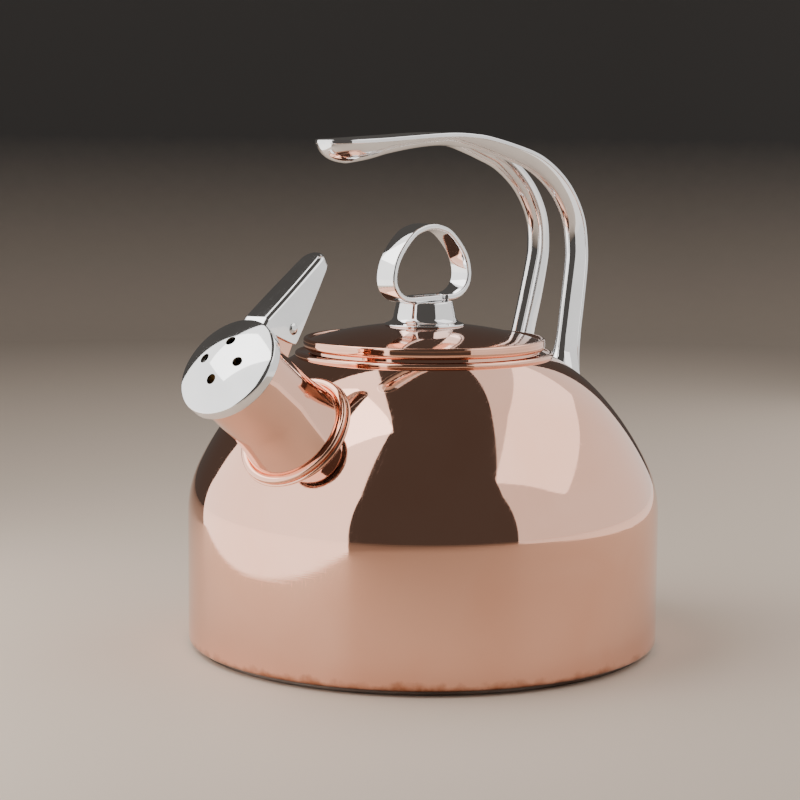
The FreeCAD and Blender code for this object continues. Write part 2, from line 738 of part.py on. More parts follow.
def arch_stations(top, foot_z):
    """Sections down the upper part of one leg."""
    inner = bar_half_w - leg_w / 2
    # share of the foot's reach, share of the fall, offset from the middle plane, tilt, half thickness
    shares = (
        (-0.110, 0.000, inner, -88, 2.5),
        (0.137, 0.001, inner, -86, 2.6),
        (0.371, 0.015, inner + 1.1, -80, 3.0),
        (0.618, 0.053, inner + 2.7, -74, 3.2),
        (0.831, 0.100, inner + 4.0, -66, 3.4),
        (1.037, 0.193, inner + 4.6, -46, 3.6),
        (1.168, 0.315, inner + 5.0, -20, 3.8),
        (1.198, 0.436, inner + 5.4, 0, 4.0),
        (1.184, 0.521, inner + 5.9, 9, 4.2),
        (1.140, 0.654, inner + 6.6, 14, 4.4),
        (1.091, 0.791, inner + 7.5, 15, 4.5),
    )
    fall = top - foot_z
    sections = []
    for out, down, y, tilt, half_t in shares:
        sections.append((foot_x * out, top - fall * down, y, tilt, leg_w / 2, half_t))
    return sections


def foot_stations(foot_z):
    """Trumpet-shaped foot: distance out from the foot's centre, height, offset, tilt and both half widths."""
    return [
        (foot_x + 4.6, foot_z + 13.5, foot_y - 2.7, 18, 0.41 * flare_r, 0.41 * flare_r),
        (foot_x + 2.6, foot_z + 7.5, foot_y - 2.0, 28, 0.57 * flare_r, 0.56 * flare_r),
        (foot_x + 1.0, foot_z + 3.0, foot_y - 1.0, 40, 0.80 * flare_r, 0.78 * flare_r),
        (foot_x - 0.6, foot_z - 0.6, foot_y, 49, flare_r, flare_r),
        (foot_x - 3.2, foot_z - 3.6, foot_y, 49, flare_r, flare_r),
    ]


def make_leg(foot_z):
    stations = arch_stations(apex_z - bar_depth / 2, foot_z) + foot_stations(foot_z)
    wires = [oval_section(V(x, -y, z), tilt, half_w, half_t) for x, z, y, tilt, half_w, half_t in stations]
    return Part.makeLoft(wires, True, False)


def foot_frame():
    """Point and outward normal of the shell where a leg lands (on the -Y side)."""
    r = math.hypot(foot_x, foot_y)
    z, slope = shell_point_at(r)
    flat = V(foot_x / r, -foot_y / r, 0)
    normal = flat * math.cos(rad(slope)) + V(0, 0, math.sin(rad(slope)))
    return V(foot_x, -foot_y, z), normal


def mirrored(shape):
    return shape.mirror(V(0, 0, 0), V(0, 1, 0))


def make_handle(envelope):
    point, normal = foot_frame()
    leg = make_leg(point.z)
    handle = make_bar().fuse(leg).fuse(mirrored(leg))
    handle = handle.cut(envelope)
    bore_l = handle_screw_len + 2 * thread_end_gap
    bore = Part.makeCylinder(handle_screw_r + fit_gap, bore_l, point - normal * thread_end_gap, normal)
    handle = handle.cut(bore).cut(mirrored(bore))
    return one_solid(handle)


def fastener_stack(shell):
    """Gasket, washer and screw of one foot, inside the shell on the -Y side."""
    point, normal = foot_frame()
    face = point - normal * body_wall
    washer_at = face - normal * (gasket_t + washer_t)
    head_at = washer_at - normal * screw_head_t
    hole_l = gasket_t + washer_t + body_wall
    hole = Part.makeCylinder(handle_screw_r + shell_hole_clearance, hole_l, washer_at, normal)
    gasket = Part.makeCylinder(gasket_r, gasket_t + body_wall / 2, face - normal * gasket_t, normal)
    washer = Part.makeCylinder(washer_r, washer_t, washer_at, normal)
    head = Part.makeCylinder(screw_head_r, screw_head_t, head_at, normal)
    shank_l = screw_head_t + washer_t + gasket_t + body_wall + handle_screw_len
    shank = Part.makeCylinder(handle_screw_r, shank_l, head_at, normal)
    return one_solid(gasket.cut(hole).cut(shell)), washer.cut(hole), one_solid(head.fuse(shank))


def shell_screw_holes():
    point, normal = foot_frame()
    depth = 4 * body_wall
    hole = Part.makeCylinder(handle_screw_r + shell_hole_clearance, 2 * depth, point - normal * depth, normal)
    return [hole, mirrored(hole)]


def pair(shape):
    return Part.makeCompound([shape, mirrored(shape)])


# ---------------------------------------------------------------- build
def main():
    os.makedirs("parts", exist_ok=True)
    envelope = body_envelope()
    spout_plug = to_spout(make_spout_solid(0.0, spout_tail), 0.0)
    mouth_ring = make_mouth_ring()
    shell = make_body_shell(mouth_ring, spout_plug, shell_screw_holes())
    save("body_shell", shell)
    save("base_plate", make_base_plate())
    save("mouth_ring", mouth_ring)
    save("spout_tube", make_spout_tube())
    save("spout_collar", make_spout_collar(envelope, spout_plug))
    save("handle", make_handle(envelope))
    gasket, washer, screw = fastener_stack(shell)
    save("handle_gaskets", pair(gasket))
    save("handle_washers", pair(washer))
    save("handle_screws", pair(screw))

    save("lid_dome", make_lid_dome())
    save("lid_skirt", make_lid_skirt())
    save("knob_base", make_knob_base())
    save("knob_loop", make_knob_loop())
    save("knob_screw", make_knob_screw())
    save("knob_washer", make_knob_washer())

    plug_in_cap_frame = make_spout_solid(0.0, spout_tail)
    plug_in_cap_frame.translate(V(0, 0, -spout_len))
    pieces = {
        "whistle_cap": make_whistle_cap(),
        "whistle_cup": make_whistle_cup(),
        "cap_seal": make_cap_seal(),
        "reed_plate": make_reed_plate(),
        "reeds": make_reeds(),
        "cap_lever": make_cap_lever(cap_solid(0.0)),
        "hinge_pin": make_hinge_pin(),
        "hinge_bracket": make_hinge_bracket(plug_in_cap_frame),
        "hinge_spring": make_hinge_spring(),
    }
    for name, shape in pieces.items():
        save(name, to_spout(shape, spout_len))


main()
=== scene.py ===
# %% [markdown]
# # A copper whistling kettle
# This lesson dresses the engineering model of a stove-top kettle. The model already holds every size,
# every fit and every joint. What is made here is what the eye sees: spun copper, bright chrome, a coiled
# spring, and the light that a mirror finish needs. The first cell loads the engineering model and keeps
# its overall box.

# %% Load the engineering model
import math
import bmesh
import bpy
from mathutils import Matrix, Vector


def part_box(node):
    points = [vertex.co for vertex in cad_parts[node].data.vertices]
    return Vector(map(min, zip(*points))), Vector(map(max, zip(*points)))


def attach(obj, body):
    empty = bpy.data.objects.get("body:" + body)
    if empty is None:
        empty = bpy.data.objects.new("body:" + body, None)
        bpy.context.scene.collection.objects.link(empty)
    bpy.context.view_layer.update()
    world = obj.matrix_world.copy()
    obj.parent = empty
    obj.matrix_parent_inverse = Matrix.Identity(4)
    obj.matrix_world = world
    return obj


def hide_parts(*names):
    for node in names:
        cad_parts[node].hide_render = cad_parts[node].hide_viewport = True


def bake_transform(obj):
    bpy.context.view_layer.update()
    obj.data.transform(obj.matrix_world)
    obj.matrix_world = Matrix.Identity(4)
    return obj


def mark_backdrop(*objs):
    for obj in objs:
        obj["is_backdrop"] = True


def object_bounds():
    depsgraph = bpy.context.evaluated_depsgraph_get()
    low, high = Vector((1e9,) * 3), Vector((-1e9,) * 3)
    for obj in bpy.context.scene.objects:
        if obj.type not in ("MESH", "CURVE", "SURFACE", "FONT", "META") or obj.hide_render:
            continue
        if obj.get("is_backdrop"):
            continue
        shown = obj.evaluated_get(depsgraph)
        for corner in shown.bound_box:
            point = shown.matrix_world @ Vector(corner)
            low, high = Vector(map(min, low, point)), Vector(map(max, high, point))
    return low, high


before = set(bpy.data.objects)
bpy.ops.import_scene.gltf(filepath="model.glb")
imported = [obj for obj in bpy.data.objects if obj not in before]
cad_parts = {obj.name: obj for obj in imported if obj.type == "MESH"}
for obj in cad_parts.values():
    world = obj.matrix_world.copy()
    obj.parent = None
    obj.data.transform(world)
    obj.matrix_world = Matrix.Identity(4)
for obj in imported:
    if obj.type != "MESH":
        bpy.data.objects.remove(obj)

cad_box = [list(corner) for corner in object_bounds()]
mm = 0.001

# %% [markdown]
# Almost every piece of a kettle is either spun on a lathe, bent from strip or cast along a curve. Blender
# has a Screw modifier and bevelled curves for that, but writing the rings of points one by one gives full
# control over where the rows of faces lie, and a mirror finish shows every uneven row. So two helpers
# make all the meshes: one joins rings of points into a skin, and one turns an outline into such rings
# around an axis.

# %% Helpers: skins and turned shapes
def new_piece(name, points, faces, finish, place=None):
    """A smooth-shaded mesh object from points in millimetres; place puts its axis somewhere else."""
    mesh = bpy.data.meshes.new(name)
    mesh.from_pydata([tuple(Vector(p) * mm) for p in points], [], faces)
    work = bmesh.new()
    work.from_mesh(mesh)
    bmesh.ops.remove_doubles(work, verts=work.verts, dist=0.002 * mm)
    loose = [edge for edge in work.edges if not edge.link_faces]
    bmesh.ops.delete(work, geom=loose, context="EDGES")
    bmesh.ops.recalc_face_normals(work, faces=work.faces)
    work.to_mesh(mesh)
    work.free()
    mesh.materials.append(finish)
    mesh.shade_smooth()
    piece = bpy.data.objects.new(name, mesh)
    bpy.context.scene.collection.objects.link(piece)
    if place is not None:
        piece.matrix_world = place
    return piece


def skin(rings, closed=False, caps=True):
    """Points and quads that join equal rings of points; caps close the first and the last ring."""
    size = len(rings[0])
    points = [p for ring in rings for p in ring]
    faces = []
    steps = len(rings) if closed else len(rings) - 1
    for i in range(steps):
        a = i * size
        b = ((i + 1) % len(rings)) * size
        for j in range(size):
            k = (j + 1) % size
            faces.append((a + j, a + k, b + k, b + j))
    if caps and not closed:
        faces.append(tuple(range(size)))
        faces.append(tuple(range(len(points) - size, len(points))))
    return points, faces


def turned(name, outline, finish, turns=192, place=None):
    """A closed outline of (radius, height) points spun round the Z axis."""
    rings = []
    for i in range(turns):
        t = 2 * math.pi * i / turns
        rings.append([(r * math.cos(t), r * math.sin(t), z) for r, z in outline])
    points, faces = skin(rings, closed=True)
    return new_piece(name, points, faces, finish, place)


print("ready: skins and turned shapes")

# %% [markdown]
# Real metal has no perfectly sharp corners. A bend has a radius, and a cut edge is broken so that it
# doesn't bite the hand. On turned pieces the rounding belongs in the outline itself, so the next helper
# replaces each corner of an outline by a small arc. Arcs are also needed on their own, for beads and for
# the curve of the shoulder.

# %% Helpers: arcs and rounded corners
def arc(cx, cz, radius, start, end, steps):
    """Points on an arc, angles in degrees."""
    found = []
    for i in range(steps + 1):
        t = math.radians(start + (end - start) * i / steps)
        found.append((cx + radius * math.cos(t), cz + radius * math.sin(t)))
    return found


def rounded(corners, steps=4):
    """Corners are (x, z) or (x, z, radius); each one with a radius becomes an arc."""
    outline = []
    for i, corner in enumerate(corners):
        here = Vector(corner[:2])
        if len(corner) < 3:
            outline.append(tuple(here))
            continue
        back = (Vector(corners[i - 1][:2]) - here).normalized()
        ahead = (Vector(corners[(i + 1) % len(corners)][:2]) - here).normalized()
        half = 0.5 * math.acos(max(-1.0, min(1.0, back.dot(ahead))))
        centre = here + (back + ahead).normalized() * (corner[2] / math.sin(half))
        start = here + back * (corner[2] / math.tan(half)) - centre
        finish = here + ahead * (corner[2] / math.tan(half)) - centre
        first = math.atan2(start.y, start.x)
        turn = math.atan2(start.x * finish.y - start.y * finish.x, start.dot(finish))
        for k in range(steps + 1):
            t = first + turn * k / steps
            outline.append((centre.x + corner[2] * math.cos(t), centre.y + corner[2] * math.sin(t)))
    return outline


def settled(piece):
    """Move the piece's own frame into its points, so that its box is measured along the kettle's axes."""
    piece.data.transform(piece.matrix_world)
    piece.matrix_world = Matrix.Identity(4)
    return piece


def finished(piece, body, slot, *nodes):
    """Settle the piece, hide the engineering parts it replaces and hang it on its body; slot is not used."""
    settled(piece)
    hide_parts(*nodes)
    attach(piece, body)
    print(piece.name, "has", len(piece.data.vertices), "points and rides on", body)
    return piece


print("ready: arcs, rounded corners and the last step of each piece")

# %% [markdown]
# Everything on the spout is built about its own tilted axis: the tube, its collar, the cap, the lever and
# the hinge. One matrix places them all. Its origin is the centre of the cap's rim, its Z axis runs out
# along the spout and its X axis points up and back towards the lever. The hinge pin's place in the model
# fixes it exactly. It comes before the finishes, because the lathe rings in the spout's copper run round
# this axis.

# %% The spout's own frame
spout_angle = 37.6
pin_back = 15.2
pin_up = 27.0
axis = Vector((-math.cos(math.radians(spout_angle)), 0, math.sin(math.radians(spout_angle))))
lift = Vector((math.sin(math.radians(spout_angle)), 0, math.cos(math.radians(spout_angle))))
pin_low, pin_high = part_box("hinge_pin")
pin_at = (pin_low + pin_high) / 2
rim = pin_at - lift * pin_up * mm + axis * pin_back * mm
spout_frame = Matrix.Translation(rim) @ Matrix((lift, Vector((0, 1, 0)), axis)).transposed().to_4x4()
print("cap rim centre:", [round(c / mm, 1) for c in rim])

# %% [markdown]
# ## Finishes
# Polished metal in Blender is a Principled shader with Metallic at 1. The colour is then the colour of
# the reflection, so copper is a warm orange-pink and chrome a cool near-white. What makes it believable
# is small: rings left by the spinning lathe, hairline scratches from wiping, and cloudy patches where the
# polish is softer. The helper below builds all three from noise in the piece's own coordinates. Rings
# follow the distance from the axis plus the height, so they run round the walls and round the domes
# alike.

# %% Helpers: shader nodes
def new_finish(name):
    """A material with an empty Principled shader, and a way to add nodes to it."""
    finish = bpy.data.materials.new(name)
    finish.use_nodes = True
    tree = finish.node_tree
    shader = tree.nodes["Principled BSDF"]

    def add(kind, inputs=None, **settings):
        node = tree.nodes.new(kind)
        for key, value in settings.items():
            setattr(node, key, value)
        for key, value in (inputs or {}).items():
            if isinstance(value, bpy.types.NodeSocket):
                tree.links.new(value, node.inputs[key])
            else:
                node.inputs[key].default_value = value
        return node

    return finish, shader, add, tree.links.new


def ramp(add, source, *stops):
    """A colour ramp; stops are (position, grey or colour)."""
    node = add("ShaderNodeValToRGB", {"Fac": source})
    while len(node.color_ramp.elements) < len(stops):
        node.color_ramp.elements.new(0.5)
    for element, (position, value) in zip(node.color_ramp.elements, stops):
        element.position = position
        element.color = (*value, 1.0) if isinstance(value, tuple) else (value, value, value, 1.0)
    return node.outputs["Color"]


def own_coordinate(add, on_spout=False):
    """The piece's coordinates; those of a piece on the spout are turned into the spout's own frame."""
    place = add("ShaderNodeTexCoord").outputs["Object"]
    if not on_spout:
        return place
    tilt = tuple(spout_frame.to_euler())
    turned_back = add("ShaderNodeMapping", {"Vector": place, "Location": tuple(rim), "Rotation": tilt},
                      vector_type="TEXTURE")
    return turned_back.outputs[0]


def ring_coordinate(add, on_spout=False):
    """Distance from the turning axis plus height, which is the same all along one lathe ring."""
    place = own_coordinate(add, on_spout)
    split = add("ShaderNodeSeparateXYZ", {0: place})
    flat = add("ShaderNodeCombineXYZ", {0: split.outputs[0], 1: split.outputs[1]})
    length = add("ShaderNodeVectorMath", {0: flat.outputs[0]}, operation="LENGTH")
    total = add("ShaderNodeMath", {0: length.outputs["Value"], 1: split.outputs[2]}, operation="ADD")
    return place, split, total.outputs[0]


def hairlines(add, place, density, turn, stretch):
    """Thin bright lines in one direction: noise squeezed across and stretched along."""
    mapped = add("ShaderNodeMapping", {"Vector": place, "Rotation": turn, "Scale": stretch})
    noise = add("ShaderNodeTexNoise", {"Vector": mapped.outputs[0], "Scale": density, "Detail": 1.0})
    return ramp(add, noise.outputs[0], (0.66, 0.0), (0.70, 1.0))


print("ready: ramps, ring coordinates and hairlines")

# %% [markdown]
# Copper is never one colour. Handling and heat leave slightly redder and slightly browner clouds in it,
# and the polish is a little softer there. A height term also makes the colour browner near the bottom
# edge, broken up by fine speckle. The roughness stays low everywhere, because this is a mirror finish:
# what changes is how crisp it is.

# %% Copper
def copper_finish(name, clear, deep, softness, brown_below=0.0, on_spout=False):
    """Mirror copper; brown_below is the height in metres under which the colour turns browner, 0 for none.
    """
    finish, shader, add, link = new_finish(name)
    place, split, rings = ring_coordinate(add, on_spout)
    clouds = add("ShaderNodeTexNoise", {"Vector": place, "Scale": 22.0, "Detail": 3.0, "Distortion": 0.6})
    tone = ramp(add, clouds.outputs[0], (0.30, deep), (0.62, clear))
    # The colour turns browner towards the bottom edge, below a given height.
    if brown_below:
        height = add("ShaderNodeMapRange",
                     {"Value": split.outputs[2], "From Min": 0.002, "From Max": brown_below})
        speckle = add("ShaderNodeTexNoise", {"Vector": place, "Scale": 160.0, "Detail": 4.0})
        edge = add("ShaderNodeMath", {0: height.outputs[0], 1: speckle.outputs[0]}, operation="ADD")
        browning = ramp(add, edge.outputs[0], (0.42, 1.0), (0.85, 0.0))
        warm = add("ShaderNodeMix", {"Factor": browning, 6: tone, 7: (0.42, 0.17, 0.09, 1.0)}, data_type="RGBA")
        tone = warm.outputs[2]
    link(tone, shader.inputs["Base Color"])
    lathe = add("ShaderNodeTexNoise", {"W": rings, "Scale": 2600.0, "Detail": 2.0}, noise_dimensions="1D")
    smear = add("ShaderNodeTexNoise", {"Vector": place, "Scale": 48.0, "Detail": 5.0, "Roughness": 0.6})
    wipes = hairlines(add, place, 90.0, (0.3, 0.2, 0.9), (1.0, 26.0, 3.0))
    wipes_too = hairlines(add, place, 80.0, (1.1, 0.5, 2.2), (1.0, 30.0, 2.0))
    lines = add("ShaderNodeMath", {0: wipes, 1: wipes_too}, operation="ADD")
    soft = ramp(add, smear.outputs[0], (0.35, softness), (0.70, 2.1 * softness))
    rough = add("ShaderNodeMath", {0: lines.outputs[0], 1: 0.05, 2: soft}, operation="MULTIPLY_ADD")
    link(rough.outputs[0], shader.inputs["Roughness"])
    relief = add("ShaderNodeMath", {0: lathe.outputs[0], 1: 0.5, 2: smear.outputs[0]},
                 operation="MULTIPLY_ADD")
    bump = add("ShaderNodeBump", {"Height": relief.outputs[0], "Strength": 0.012, "Distance": 0.0004})
    link(bump.outputs[0], shader.inputs["Normal"])
    shader.inputs["Metallic"].default_value = 1.0
    return finish


copper = copper_finish("polished_copper", (0.90, 0.52, 0.39), (0.87, 0.48, 0.35), 0.026, brown_below=0.012)
lid_copper = copper_finish("lid_copper", (0.88, 0.50, 0.37), (0.81, 0.41, 0.28), 0.034)
spout_copper = copper_finish("spout_copper", (0.90, 0.52, 0.39), (0.86, 0.47, 0.34), 0.030, on_spout=True)
fitting_copper = copper_finish("fitting_copper", (0.89, 0.50, 0.37), (0.80, 0.40, 0.27), 0.060,
                               on_spout=True)
print("four coppers: body, lid, spout and small fittings")

# %% [markdown]
# Chrome plate is harder than copper and stays crisp, but it shows wiping marks. Its colour is almost
# neutral. The same cloud-and-hairline recipe is used with a cooler colour and finer marks. On cast pieces
# such as the handle there are no lathe rings, so a very shallow ripple from casting and buffing stands in
# for them.

# %% Chrome and plain steel
def plated_finish(name, bright, dull, softness, ripple, on_spout=False):
    """Plated or plain steel; ripple is how fine the shallow waves of the casting or pressing are."""
    finish, shader, add, link = new_finish(name)
    place = own_coordinate(add, on_spout)
    clouds = add("ShaderNodeTexNoise", {"Vector": place, "Scale": 60.0, "Detail": 4.0})
    link(ramp(add, clouds.outputs[0], (0.35, dull), (0.65, bright)), shader.inputs["Base Color"])
    wipes = hairlines(add, place, 140.0, (0.5, 0.1, 0.4), (1.0, 24.0, 2.0))
    soft = ramp(add, clouds.outputs[0], (0.30, softness), (0.75, 2.0 * softness))
    rough = add("ShaderNodeMath", {0: wipes, 1: 0.06, 2: soft}, operation="MULTIPLY_ADD")
    link(rough.outputs[0], shader.inputs["Roughness"])
    wave = add("ShaderNodeTexNoise", {"Vector": place, "Scale": ripple, "Detail": 1.0})
    bump = add("ShaderNodeBump", {"Height": wave.outputs[0], "Strength": 0.02, "Distance": 0.0008})
    link(bump.outputs[0], shader.inputs["Normal"])
    shader.inputs["Metallic"].default_value = 1.0
    return finish


chrome = plated_finish("handle_chrome", (0.90, 0.90, 0.91), (0.83, 0.83, 0.84), 0.030, 90.0)
knob_chrome = plated_finish("knob_chrome", (0.90, 0.90, 0.91), (0.83, 0.83, 0.84), 0.028, 140.0)
cap_chrome = plated_finish("cap_chrome", (0.90, 0.90, 0.91), (0.82, 0.83, 0.84), 0.036, 110.0, on_spout=True)
plain_steel = plated_finish("plain_steel", (0.66, 0.65, 0.63), (0.52, 0.51, 0.50), 0.14, 220.0)
tin_lining = plated_finish("tin_lining", (0.62, 0.61, 0.58), (0.44, 0.43, 0.41), 0.20, 120.0)
print("two steels, a tin lining and three chromes")

# %% [markdown]
# The base disc sits over the flame. It is brushed in rings on the lathe and takes a straw-to-brown bloom
# from the heat. The whistle's plate and reeds are thin brass, coloured very dark as painted shade, so that
# the steam holes in front of them look dark. The seal and gaskets are silicone rubber, which is the only
# soft, matt material here: rough, dark, and with a fine grain.

# %% Base steel, brass and rubber
def base_finish():
    """Steel brushed in rings, with a brown bloom from the flame."""
    finish, shader, add, link = new_finish("base_steel")
    place, split, rings = ring_coordinate(add)
    bloom = add("ShaderNodeTexNoise", {"Vector": place, "Scale": 26.0, "Detail": 4.0})
    link(ramp(add, bloom.outputs[0], (0.35, (0.16, 0.12, 0.10)), (0.60, (0.33, 0.30, 0.28))),
         shader.inputs["Base Color"])
    brushed = add("ShaderNodeTexNoise", {"W": rings, "Scale": 1800.0, "Detail": 3.0}, noise_dimensions="1D")
    link(ramp(add, brushed.outputs[0], (0.3, 0.26), (0.7, 0.46)), shader.inputs["Roughness"])
    bump = add("ShaderNodeBump", {"Height": brushed.outputs[0], "Strength": 0.12, "Distance": 0.0003})
    link(bump.outputs[0], shader.inputs["Normal"])
    shader.inputs["Metallic"].default_value = 1.0
    return finish


def rubber_finish():
    """Dark silicone with a fine grain."""
    finish, shader, add, link = new_finish("silicone_rubber")
    place = add("ShaderNodeTexCoord").outputs["Object"]
    grain = add("ShaderNodeTexNoise", {"Vector": place, "Scale": 900.0, "Detail": 3.0})
    link(ramp(add, grain.outputs[0], (0.35, (0.020, 0.020, 0.021)), (0.65, (0.045, 0.044, 0.043))),
         shader.inputs["Base Color"])
    link(ramp(add, grain.outputs[0], (0.3, 0.50), (0.7, 0.68)), shader.inputs["Roughness"])
    bump = add("ShaderNodeBump", {"Height": grain.outputs[0], "Strength": 0.2, "Distance": 0.0001})
    link(bump.outputs[0], shader.inputs["Normal"])
    return finish


base_steel = base_finish()
rubber = rubber_finish()
# The brass is coloured very dark: painted shade for the hollow seen through the cap's steam holes.
shade_dark_brass = plated_finish("reed_brass", (0.30, 0.21, 0.11), (0.18, 0.12, 0.06), 0.22, 300.0)
print("base steel, rubber and brass")

# %% [markdown]
# ## The body
# The body is spun from one copper disc over a wooden former. Its wall is straight, then it bends through
# three arcs that meet smoothly: a quick hip, a long easy flank and a tighter shoulder that runs up to the
# mouth. Giving the arcs by radius and end angle, each one starting where the last ended, keeps the curve
# free of kinks.

# %% Shoulder curve
wall_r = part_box("body_shell")[1].x / mm
wall_t = 1.2
straight_top = 54.0
mouth_r = 51.6
hip, flank = (45.0, 26.0), (118.0, 42.0)
mouth_slope = 62.0


def shoulder_arcs():
    """Centre r, centre z, radius, start and end angle of the three arcs."""
    r, z, start = wall_r, straight_top, 0.0
    arcs = []
    for radius, end in (hip, flank, (None, mouth_slope)):
        c0, c1 = math.cos(math.radians(start)), math.cos(math.radians(end))
        radius = radius or (r - mouth_r) / (c0 - c1)
        cr = r - radius * c0
        cz = z - radius * math.sin(math.radians(start))
        arcs.append((cr, cz, radius, start, end))
        r = cr + radius * c1
        z = cz + radius * math.sin(math.radians(end))
        start = end
    return arcs, z


shoulder, mouth_z = shoulder_arcs()


def shell_radius(z):
    """Outer radius of the shell at a height, in millimetres."""
    if z <= straight_top:
        return wall_r
    for cr, cz, radius, start, end in shoulder:
        if z <= cz + radius * math.sin(math.radians(end)):
            return cr + math.sqrt(max(0.0, radius ** 2 - (z - cz) ** 2))
    return mouth_r


print("mouth of the shell at %.1f mm" % mouth_z)

# %% [markdown]
# The outline goes up the outside, over the cut edge at the mouth and down the inside, so the finished
# mesh is a closed sheet with a true wall. The spout needs a hole through it. A Boolean modifier cuts that
# hole exactly, and its ragged shading stays hidden under the spout's collar. The inside faces get a
# second material, the tin lining.

# %% Body shell
foot_h = 2.0
heel_r = 2.0
hem_w = 1.5


def shell_side(inset, steps):
    """Outline of the wall and the shoulder, a distance inside the outer surface."""
    side = [(wall_r - inset, z) for z in (foot_h + heel_r, 12, 20, 28, 36, 44, 50)]
    for cr, cz, radius, start, end in shoulder:
        side += arc(cr, cz, radius - inset, start, end, steps)[:-1]
    cr, cz, radius, start, end = shoulder[-1]
    side += arc(cr, cz, radius - inset, end, end, 1)[:1]
    return side


def make_body():
    """The closed sheet of the shell, from its mouth down the inside to the hem and back up the outside."""
    heel_c = (wall_r - heel_r, foot_h + heel_r)
    outline = shell_side(0.0, 30)
    outline += list(reversed(shell_side(wall_t, 12)))
    outline += arc(*heel_c, heel_r - wall_t, 0, -90, 3)[1:]
    outline += [(wall_r - heel_r - hem_w, foot_h + wall_t), (wall_r - heel_r - hem_w, foot_h)]
    outline += arc(*heel_c, heel_r, -90, 0, 8)[:-1]
    return turned("body_shell_copper", outline, copper, turns=288)


body = make_body()
body.data.materials.append(tin_lining)
for face in body.data.polygons:
    flat = Vector((face.center.x, face.center.y, 0.0))
    if face.normal.dot(flat) < -0.2 * flat.length:
        face.material_index = 1
print("the shell has", len(body.data.polygons), "faces before its spout hole is cut")

# %% [markdown]
# The spout is a short copper tube that widens towards the body, so that water runs out of it in one
# smooth sheet. Its outline is a straight line and one arc that meets it without a kink. The arc's radius
# follows from how much wider the root is than the tube, and from how far the flare runs.

# %% Spout outline
spout_len = 47.4
tube_r = 17.9
root_r = 21.6
flare_run = spout_len - 26.0


def flare_side(inset, steps):
    """Outline of the tube from its root to the straight part; z counts down from the cap's rim."""
    rise = root_r - tube_r
    sweep = (flare_run ** 2 + rise ** 2) / (2 * rise)
    end = math.degrees(math.asin(flare_run / sweep))
    return arc(tube_r + sweep, flare_run - spout_len, sweep + inset, 180 + end, 180, steps)


print("the flare runs %.1f mm up from the root" % flare_run)


# %% [markdown]
# The tube is thin copper that flares towards the body. The collar is the joint: two rolled beads that
# hide the seam where the tube was pushed through the shell. On the real kettle the collar is scribed to
# the round body, so after it is turned, every point that would lie inside the shell is pushed out to just
# under the shell's surface.

# %% Spout tube and collar
def make_tube():
    """The spout's tube as a closed sheet, from under the shell to the rounded lip under the cap."""
    wall = 1.0
    lip = -2.7
    outline = [(root_r, -spout_len - 2.0)] + flare_side(0.0, 24)
    outline += rounded([(tube_r, -18.0), (tube_r, -10.0), (tube_r, lip, 0.45), (tube_r - wall, lip, 0.45),
                        (tube_r - wall, -10.0)])
    outline += list(reversed(flare_side(wall, 12)))
    outline += [(root_r - wall, -spout_len - 2.0)]
    return turned("spout_tube_copper", outline, spout_copper, turns=160, place=spout_frame)


def onto_shell(point, way, under=0.3, near=-6.0, far=14.0):
    """Distance to slide a point along a direction until it lies a little under the shell's surface."""
    for _ in range(30):
        middle = 0.5 * (near + far)
        at = point + way * middle
        if math.hypot(at.x, at.y) < shell_radius(at.z) - under:
            far = middle
        else:
            near = middle
    return near


def scribe(piece, under=0.4):
    """Pull every point that lies inside the shell back along the spout to just under the surface."""
    place = piece.matrix_world
    back = place.inverted()
    for vertex in piece.data.vertices:
        at = place @ vertex.co / mm
        if math.hypot(at.x, at.y) < shell_radius(at.z) - under:
            slide = onto_shell(at + axis * 40.0, -axis, under, 0.0, 60.0)
            vertex.co = back @ ((at + axis * (40.0 - slide)) * mm)


def make_collar():
    """Two rolled beads round the spout's root, with their lower side scribed to the shell."""
    root = -spout_len
    bead, pitch = 1.25, 2.3
    low = root + 0.7 * pitch - pitch
    outline = [(root_r - 0.4, root - 7.0), (22.7, root - 7.0), (22.7, root - 3.4)]
    outline += arc(22.7, low + pitch / 2, bead, -80, 80, 12)
    outline += arc(22.2, low + 1.5 * pitch, bead, -80, 80, 12)
    outline += [(21.6, low + 2.05 * pitch), (20.7, low + 2.05 * pitch), (20.7, root)]
    collar = turned("spout_collar_copper", outline, fitting_copper, turns=224, place=spout_frame)
    scribe(collar)
    return collar


tube = make_tube()
collar = make_collar()
finished(tube, "kettle", "copper", "spout_tube")
finished(collar, "kettle", "copper", "spout_collar")

# %% [markdown]
# On the real kettle the hole is pierced before the spout is soldered on, and it is a little smaller than
# the spout's root. A Boolean modifier does the same with a plain rod as the punch. Its result is made the
# body's own mesh, so that the rod can be thrown away.

# %% Cut the spout's hole in the body
hole_r = root_r - 1.2
rod = [(0.0, -80.0), (hole_r, -80.0), (hole_r, -30.0), (0.0, -30.0)]
cutter = turned("hole_cutter", rod, copper, turns=64, place=spout_frame)
cut = body.modifiers.new("spout_hole", "BOOLEAN")
cut.object = cutter
cut.solver = "EXACT"
bpy.context.view_layer.update()
opened = bpy.data.meshes.new_from_object(body.evaluated_get(bpy.context.evaluated_depsgraph_get()))
body.modifiers.clear()
body.data = opened
body.data.set_sharp_from_angle(angle=math.radians(50))
bpy.data.objects.remove(cutter)
finished(body, "kettle", "copper", "body_shell")

# %% [markdown]
# The mouth ring is a rolled bead with a short neck inside it. The lid's skirt drops into the neck, and
# the lid rests on the neck's top edge, which is why a thin dark gap shows between the two beads. The
# bottom disc is a separate steel pressing, slightly smaller than the body, with a stiffening groove near
# its edge.

# %% Mouth ring and base
bead_r = 1.1
bead_c = (mouth_r - 0.7, mouth_z + 0.77)
neck_r = 45.0
neck_t = 1.2
neck_top = bead_c[1] + 4.3


